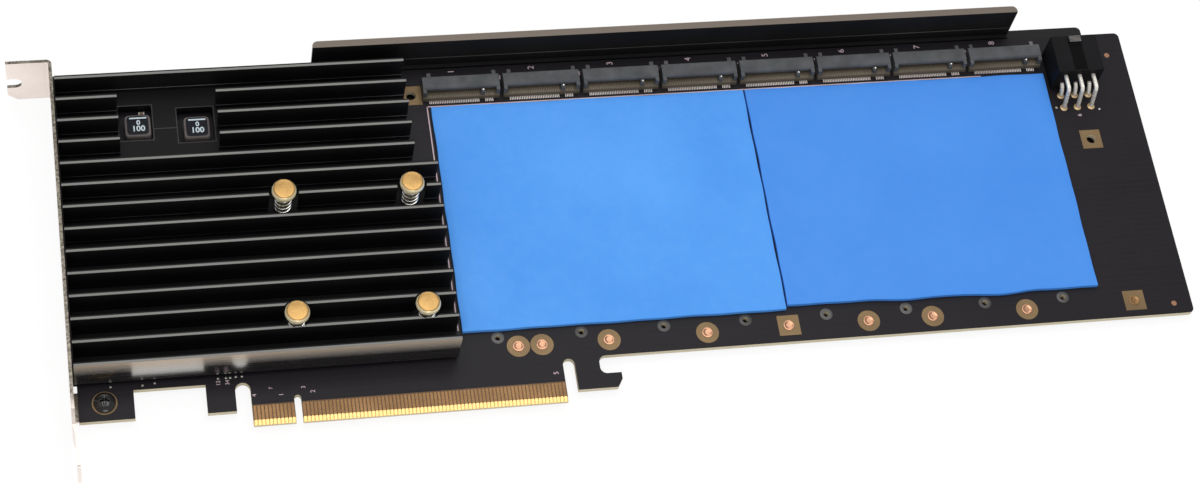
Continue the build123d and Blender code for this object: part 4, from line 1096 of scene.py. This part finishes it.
class CARD_OT_power(bpy.types.Operator):
    """Finishes the power housing and bends its bright pins, with solder rings round them"""
    bl_idname = "card.power"
    bl_label = "Power inlet"

    def execute(self, context):
        plastic = plain_finish("housing_plastic", colours().plastic, 0.0, 0.55, grain=2600, depth=0.00003,
                               tone=0.3, specular=0.07)
        finish(plastic, "power_header")
        self.ribs()
        low, high = node_box("power_pins")
        half = 0.535 * MM
        columns = np.linspace(low[0] + half, high[0] - half, 3)
        front = low[1] + half
        rows = ((front, high[2] - half, 2.0 * MM), (front + 4.1 * MM, high[2] - half - 4.2 * MM, 1.5 * MM))
        tip = high[1]
        shapes, rings = [], []
        for x in columns:
            for y, z, lean in rows:
                line = self.line(x, y, z, lean, tip, low[2])
                shapes.append(swept(line, half * 0.98, 16, square=True, across=(1, 0, 0)))
                rings.append((x, y, 0.0))
        points, faces = joined(*shapes)
        tinned = plain_finish("tinned_pins", (0.92, 0.86, 0.78), 0.55, 0.28, grain=3000, tone=0.12)
        piece = make_object("power_pin_set", points, faces, tinned, "tin")
        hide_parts("power_pins")
        profile = [(0.5 * MM, 0.5 * MM), (0.7 * MM, 0.18 * MM), (1.05 * MM, 0.05 * MM), (1.1 * MM, 0.0)]
        points, faces = turned(profile[::-1], 28)
        points, faces = copies(points, faces, rings)
        rims = plain_finish("ring_gold", (0.62, 0.44, 0.24), 0.5, 0.38, grain=3000, tone=0.2)
        make_object("solder_rings", points, faces, rims, "gold")
        return {"FINISHED"}

    def ribs(self):
        """Fine ribs across the latch's thumb ramp, as thin bars painted pale as a highlight, and a smooth
        darker band below them as painted shade.
        """
        low, high = node_box("power_header")
        x = (low[0] + high[0]) / 2
        steps = high[1] - 0.7 * MM - np.arange(5) * 0.42 * MM
        half, foot, head = 1.75 * MM, high[2] - 0.05 * MM, high[2] - 0.01 * MM
        start = np.column_stack([np.full(5, x - half), steps - 0.1 * MM, np.full(5, foot)])
        end = np.column_stack([np.full(5, x + half), steps + 0.1 * MM, np.full(5, head)])
        # Painted highlight: the ribs are pale grey where the ramp catches the light
        pale = plain_finish("latch_ribs", (0.16, 0.155, 0.15), 0.0, 0.5, grain=3000, tone=0.25)
        make_object("latch_ribs", *bars(start, end), pale, "black_plastic", smooth=False)
        # Painted shade: a nearly black band behind the latch
        top = high[2] - 1.0 * MM
        start = (x - 2.0 * MM, low[1] + 0.3 * MM, top - 0.01 * MM)
        end = (x + 2.0 * MM, high[1] - 3.0 * MM, top + 0.02 * MM)
        dark = plain_finish("latch_painted_shade", (0.003, 0.003, 0.003), 0.0, 0.35, grain=3000, tone=0.2,
                            specular=0.05)
        make_object("latch_painted_shade", *bars(start, end), dark, "black_plastic", smooth=False)

    def line(self, x, y, z, lean, tip, foot):
        """Pin line: level along Y at height z, leaning down to its hole, then upright. Each bend is the curve
        a (1 - t) squared + 2 b t (1 - t) + c t squared round its corner b, from a reach before it to the same
        reach after it."""
        corners = np.array([[x, tip, z], [x, y + lean, z], [x, y, 0.3 * MM], [x, y, foot]])
        runs = np.diff(corners, axis=0)
        ways = runs / np.linalg.norm(runs, axis=1)[:, None]
        t = np.linspace(0, 1, 8)[:, None]
        parts = [corners[:1]]
        for n, reach in ((1, 1.1 * MM), (2, 0.25 * MM)):
            b = corners[n]
            a, c = b - ways[n - 1] * reach, b + ways[n] * reach
            parts.append(a * (1 - t) ** 2 + 2 * b * t * (1 - t) + c * t ** 2)
        return np.concatenate(parts + [corners[-1:]])


class CARD_OT_rail(bpy.types.Operator):
    """Finishes the black rail, with painted highlights along its top and along a line on its face"""
    bl_idname = "card.rail"
    bl_label = "Top rail"

    def execute(self, context):
        tint = colours()
        high = node_box("top_rail")[1]
        material, tree, shader = new_finish("black_anodised_rail")
        streaks, patches = streaks_along(tree, 4500.0), speckle(tree, 4200.0, 25.0)[1]
        # Painted highlight: the rail's upward faces at its top are paler and a little metallic
        top = upper_faces(tree, float(high[2]) - 0.3 * MM, 0.15 * MM)
        tone = mottled(tree, patches, tint.black, 1.0, 1.7)
        tone = blend(tree, top, tone, (0.17, 0.14, 0.115, 1))
        # Painted highlight: a pale line along the face, where an edge of the profile catches the light
        edge_highlight_height, half_line = 3.5 * MM, 0.16 * MM
        line = less(tree, away(tree, split(tree)[2], edge_highlight_height), half_line)
        line = times(tree, line, ranged(tree, patches, 0.2, 0.8))
        tone = blend(tree, line, tone, (0.16, 0.15, 0.14, 1))
        dress(tree, shader, tone, ranged(tree, streaks, 0.34, 0.5), times(tree, top, 0.3), 0.2)
        bump(tree, shader, streaks, 0.00001, 0.3)
        finish(material, "top_rail")
        return {"FINISHED"}


class CARD_OT_bracket(bpy.types.Operator):
    """Plates the bracket and blackens its screws"""
    bl_idname = "card.bracket"
    bl_label = "Bracket"

    def execute(self, context):
        finish(self.plate(), "mounting_bracket")
        dark = plain_finish("black_oxide", (0.006, 0.006, 0.007), 0.0, 0.1, spread=0.03, grain=3000, tone=0.3,
                            specular=0.6)
        finish(dark, "bracket_screw_rear")
        self.screw(dark)
        return {"FINISHED"}

    def plate(self):
        """Nickel plate with lines drawn along Y, and a dark speckled cut edge on top, fainter near the lower
        end. Its darkness is partly the real cut edge and partly painted shade from the parts beside it."""
        material, tree, shader = new_finish("nickel_plate")
        lines = cloud(tree, drawn_out(tree, (1.0, 0.02, 1.0)), 3500.0, 3.0)
        patches = speckle(tree, 2500.0, 40.0)[1]
        specks = ranged(tree, cloud(tree, place_on(tree), 1400.0, 4.0), 0.0, 1.0)
        # Real cut edge and painted shade: the upward faces are dark, fainter near the lower end
        cut = blend(tree, specks, (0.05, 0.042, 0.035, 1), (0.30, 0.27, 0.22, 1))
        upper = more(tree, split(tree, "Normal")[2], 0.5)
        upper = times(tree, upper, ranged(tree, split(tree)[1], 0.35, 1.0, 0.0, 6 * MM))
        tone = blend(tree, upper, mottled(tree, patches, colours().nickel, 0.85, 1.08), cut)
        dress(tree, shader, tone, ranged(tree, lines, 0.26, 0.4), 0.9)
        bump(tree, shader, lines, 0.00001, 0.3)
        return material

    def screw(self, material):
        """Domed screw: z = top - crown (r / R) to the power 2.6, less the cross, whose depth falls off across
        each arm and towards its end. Then come the rim, the washer face and the shank."""
        low, high = node_box("bracket_screw_front")
        centre = (low + high) / 2
        radius, shank = (high[0] - low[0]) / 2 + 0.15 * MM, 1.5 * MM
        top, crown, depth, arm, half = high[2], 1.15 * MM, 0.75 * MM, 1.35 * MM, 0.3 * MM
        r = np.linspace(0, radius - 0.05 * MM, 44)[:, None]
        t = np.linspace(0, 2 * math.pi, 120, endpoint=False)[None]
        x, y = r * np.cos(t), r * np.sin(t)
        along, across = np.maximum(np.abs(x), np.abs(y)), np.minimum(np.abs(x), np.abs(y))
        cut = np.clip((half - across) / (0.2 * MM) + 0.5, 0, 1) * np.clip((arm - along) / (0.5 * MM), 0, 1)
        z = top - 0.1 * MM - crown * (r / radius) ** 2.6 - depth * cut
        head = np.stack([x, y, z], axis=2)
        ring = np.stack([np.cos(t[0]), np.sin(t[0])], axis=1)
        rest = [(radius, top - 1.35 * MM), (radius, 0.0), (shank, 0.0), (shank, low[2] + 0.3 * MM),
                (shank - 0.3 * MM, low[2]), (0.0, low[2])]
        lower = np.stack([np.column_stack([ring * w, np.full(len(ring), h)]) for w, h in rest])
        points = np.concatenate([head, lower]) + np.array([centre[0], centre[1], 0.0])
        faces = lattice(len(points), points.shape[1], wrap_columns=True)[:, ::-1]
        piece = make_object("screw_front_domed", points, faces, material, "dark_steel", sharp=40.0)
        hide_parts("bracket_screw_front")


class CARD_OT_small_parts(bpy.types.Operator):
    """Gives the tiny two-pole parts a tan body and tinned ends"""
    bl_idname = "card.small_parts"
    bl_label = "Small parts"

    def execute(self, context):
        body = plain_finish("tan_ceramic", (0.22, 0.16, 0.10), 0.0, 0.5, grain=5000, tone=0.3)
        ends = plain_finish("cap_tin", (0.72, 0.70, 0.66), 0.3, 0.4, grain=3500, tone=0.2)
        high = node_box("board_capacitors")[1][2]
        left, right = (np.sum(node_box(name), axis=0) / 2 for name in ("inductor_left", "inductor_right"))
        places = [(left[0] + 1.4 * MM, left[1] + 6.2 * MM), (right[0] - 1.2 * MM, right[1] + 5.2 * MM)]
        chip = np.sum(node_box("chip_thermal_pad"), axis=0) / 2
        row = (29.0 / 2 + 2.6 + 2.0) * MM
        for n in range(8):
            x = chip[0] + 2.4 * MM * (n - 3.5)
            places += [(x, chip[1] - row), (x, chip[1] + row)]
        places = np.array(places)
        half = np.array([0.8, 0.425]) * MM
        cap = 0.3 * MM
        inset = 0.03 * MM
        low_body = np.column_stack([places - half + [cap, inset], np.zeros(len(places))])
        high_body = np.column_stack([places + half - [cap, inset], np.full(len(places), high - inset)])
        points, faces = soft_bars(low_body, high_body, 0.04 * MM)
        piece = make_object("capacitor_bodies", points, faces, body, "ceramic", smooth=False)
        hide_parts("board_capacitors")
        first = np.column_stack([places - half, np.zeros(len(places))])
        last = np.column_stack([places + half, np.full(len(places), high)])
        low_caps, high_caps = np.concatenate([first, first]), np.concatenate([last, last])
        count = len(places)
        high_caps[:count, 0] = first[:, 0] + cap
        low_caps[count:, 0] = last[:, 0] - cap
        points, faces = soft_bars(low_caps, high_caps, 0.06 * MM)
        make_object("capacitor_ends", points, faces, ends, "tin", smooth=False)
        return {"FINISHED"}


class CARD_OT_stage(bpy.types.Operator):
    """Sets the camera, the pale floor and the soft lamps"""
    bl_idname = "card.stage"
    bl_label = "Camera, floor and lamps"

    def execute(self, context):
        self.camera(context.scene)
        self.floor()
        self.lamps()
        self.world(context.scene)
        context.scene.view_settings.view_transform = "Standard"
        return {"FINISHED"}

    def camera(self, scene):
        """Camera where the photo was taken from, with its turn as an axis times an angle."""
        stage = scene.card_stage
        data = bpy.data.cameras.new("camera")
        data.sensor_width = 36.0
        data.lens = stage.focal_px / stage.photo_width * data.sensor_width
        data.clip_start, data.clip_end = 0.05, 20.0
        camera = bpy.data.objects.new("camera", data)
        turn = Vector((0.48918926, -0.17381929, -0.11115479))
        camera.rotation_mode = "QUATERNION"
        camera.rotation_quaternion = Quaternion(turn.normalized(), turn.length)
        camera.location = Vector((-60.0, -304.2, 667.5)) * MM
        scene.collection.objects.link(camera)
        scene.camera = camera

    def floor(self):
        """Flat square far wider than the card, at the card's lowest point."""
        level = CAD_BOX[0][2] - 0.00002
        points, faces = [(-4, -4, level), (4, -4, level), (4, 4, level), (-4, 4, level)], [(0, 1, 2, 3)]
        mesh = bpy.data.meshes.new("floor")
        mesh.from_pydata(points, [], faces)
        material, tree, shader = new_finish("pale_floor")
        stage = bpy.context.scene.card_stage
        clear = self.open_floor(tree)
        # Painted shadow: the floor's colour is nearly black right below the board
        dress(tree, shader, blend(tree, clear, (0.02, 0.02, 0.02, 1), (0.9, 0.9, 0.9, 1)), 0.9)
        glow = add(tree, "ShaderNodeEmission", [("Color", (1, 1, 1, 1)), ("Strength", stage.floor_glow)])
        path = add(tree, "ShaderNodeLightPath").outputs
        seen = maths(tree, "MAXIMUM", path["Is Camera Ray"], path["Is Glossy Ray"])
        amount = times(tree, seen, times(tree, clear, stage.floor_share))
        mix = add(tree, "ShaderNodeMixShader", [(0, amount), (1, shader.outputs[0]), (2, glow.outputs[0])])
        tree.links.new(mix.outputs[0], tree.nodes["Material Output"].inputs["Surface"])
        mesh.materials.append(material)
        floor = bpy.data.objects.new("floor", mesh)
        bpy.context.scene.collection.objects.link(floor)

    def open_floor(self, tree):
        """Mask that is 0 on the floor right below the board, painted dark there as a shadow, and 1 elsewhere.
        """
        low, high = node_box("circuit_board")
        tongue, margin, past_left = 12.75 * MM, 4 * MM, 1.6 * MM
        place = split(tree)
        spans = ((0, low[0] - past_left, high[0] - margin), (1, low[1] + tongue + margin, high[1] - margin))
        shadow = 1.0
        for axis, start, end in spans:
            between = times(tree, more(tree, place[axis], start), less(tree, place[axis], end))
            shadow = times(tree, shadow, between)
        return minus(tree, 1.0, shadow)

    def lamps(self):
        """Three square lamps, all aimed at the card's middle."""
        stage = bpy.context.scene.card_stage
        for name, place, size, power in (
            ("top_lamp", (0.1, 0.15, 1.1), 0.9, stage.lamp_power),
            ("back_lamp", (0.2, 1.1, 0.7), 0.8, stage.side_power),
            ("front_lamp", (0.0, -0.8, 0.35), 0.5, stage.front_power),
        ):
            data = bpy.data.lights.new(name, "AREA")
            data.shape, data.size, data.energy = "SQUARE", size, power
            lamp = bpy.data.objects.new(name, data)
            lamp.location = place
            aim = Vector((0.1, 0.05, 0.0)) - lamp.location
            lamp.rotation_mode = "QUATERNION"
            lamp.rotation_quaternion = aim.to_track_quat("-Z", "Y")
            bpy.context.scene.collection.objects.link(lamp)

    def world(self, scene):
        """Even white light from all sides."""
        world = bpy.data.worlds.new("even_light")
        world.use_nodes = True
        tree = world.node_tree
        tree.nodes["Background"].inputs["Color"].default_value = (1, 1, 1, 1)
        tree.nodes["Background"].inputs["Strength"].default_value = scene.card_stage.world_level
        scene.world = world


OPERATORS = (
    CARD_OT_board, CARD_OT_plating, CARD_OT_heatsink, CARD_OT_pins, CARD_OT_inductors, CARD_OT_connectors,
    CARD_OT_print, CARD_OT_soft_pads, CARD_OT_power, CARD_OT_rail, CARD_OT_bracket, CARD_OT_small_parts,
    CARD_OT_stage,
)


class CARD_PT_panel(bpy.types.Panel):
    """Lists the card's settings and steps"""
    bl_idname = "CARD_PT_panel"
    bl_label = "Module card"
    bl_space_type = "VIEW_3D"
    bl_region_type = "UI"
    bl_category = "Card"

    def draw(self, context):
        layout = self.layout
        for operator in OPERATORS:
            layout.operator(operator.bl_idname)
        for settings in (context.scene.card_sizes, context.scene.card_colours, context.scene.card_stage):
            box = layout.box()
            for name in settings.__annotations__:
                box.prop(settings, name)


CLASSES = (CardSizes, CardColours, CardStage, *OPERATORS, CARD_PT_panel)


def register():
    for item in CLASSES:
        bpy.utils.register_class(item)
    bpy.types.Scene.card_sizes = PointerProperty(type=CardSizes)
    bpy.types.Scene.card_colours = PointerProperty(type=CardColours)
    bpy.types.Scene.card_stage = PointerProperty(type=CardStage)


def unregister():
    del bpy.types.Scene.card_stage
    del bpy.types.Scene.card_colours
    del bpy.types.Scene.card_sizes
    for item in reversed(CLASSES):
        bpy.utils.unregister_class(item)


def main():
    """Registers the add-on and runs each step."""
    register()
    for operator in OPERATORS:
        group, name = operator.bl_idname.split(".")
        getattr(getattr(bpy.ops, group), name)()


if __name__ == "__main__":
    main()
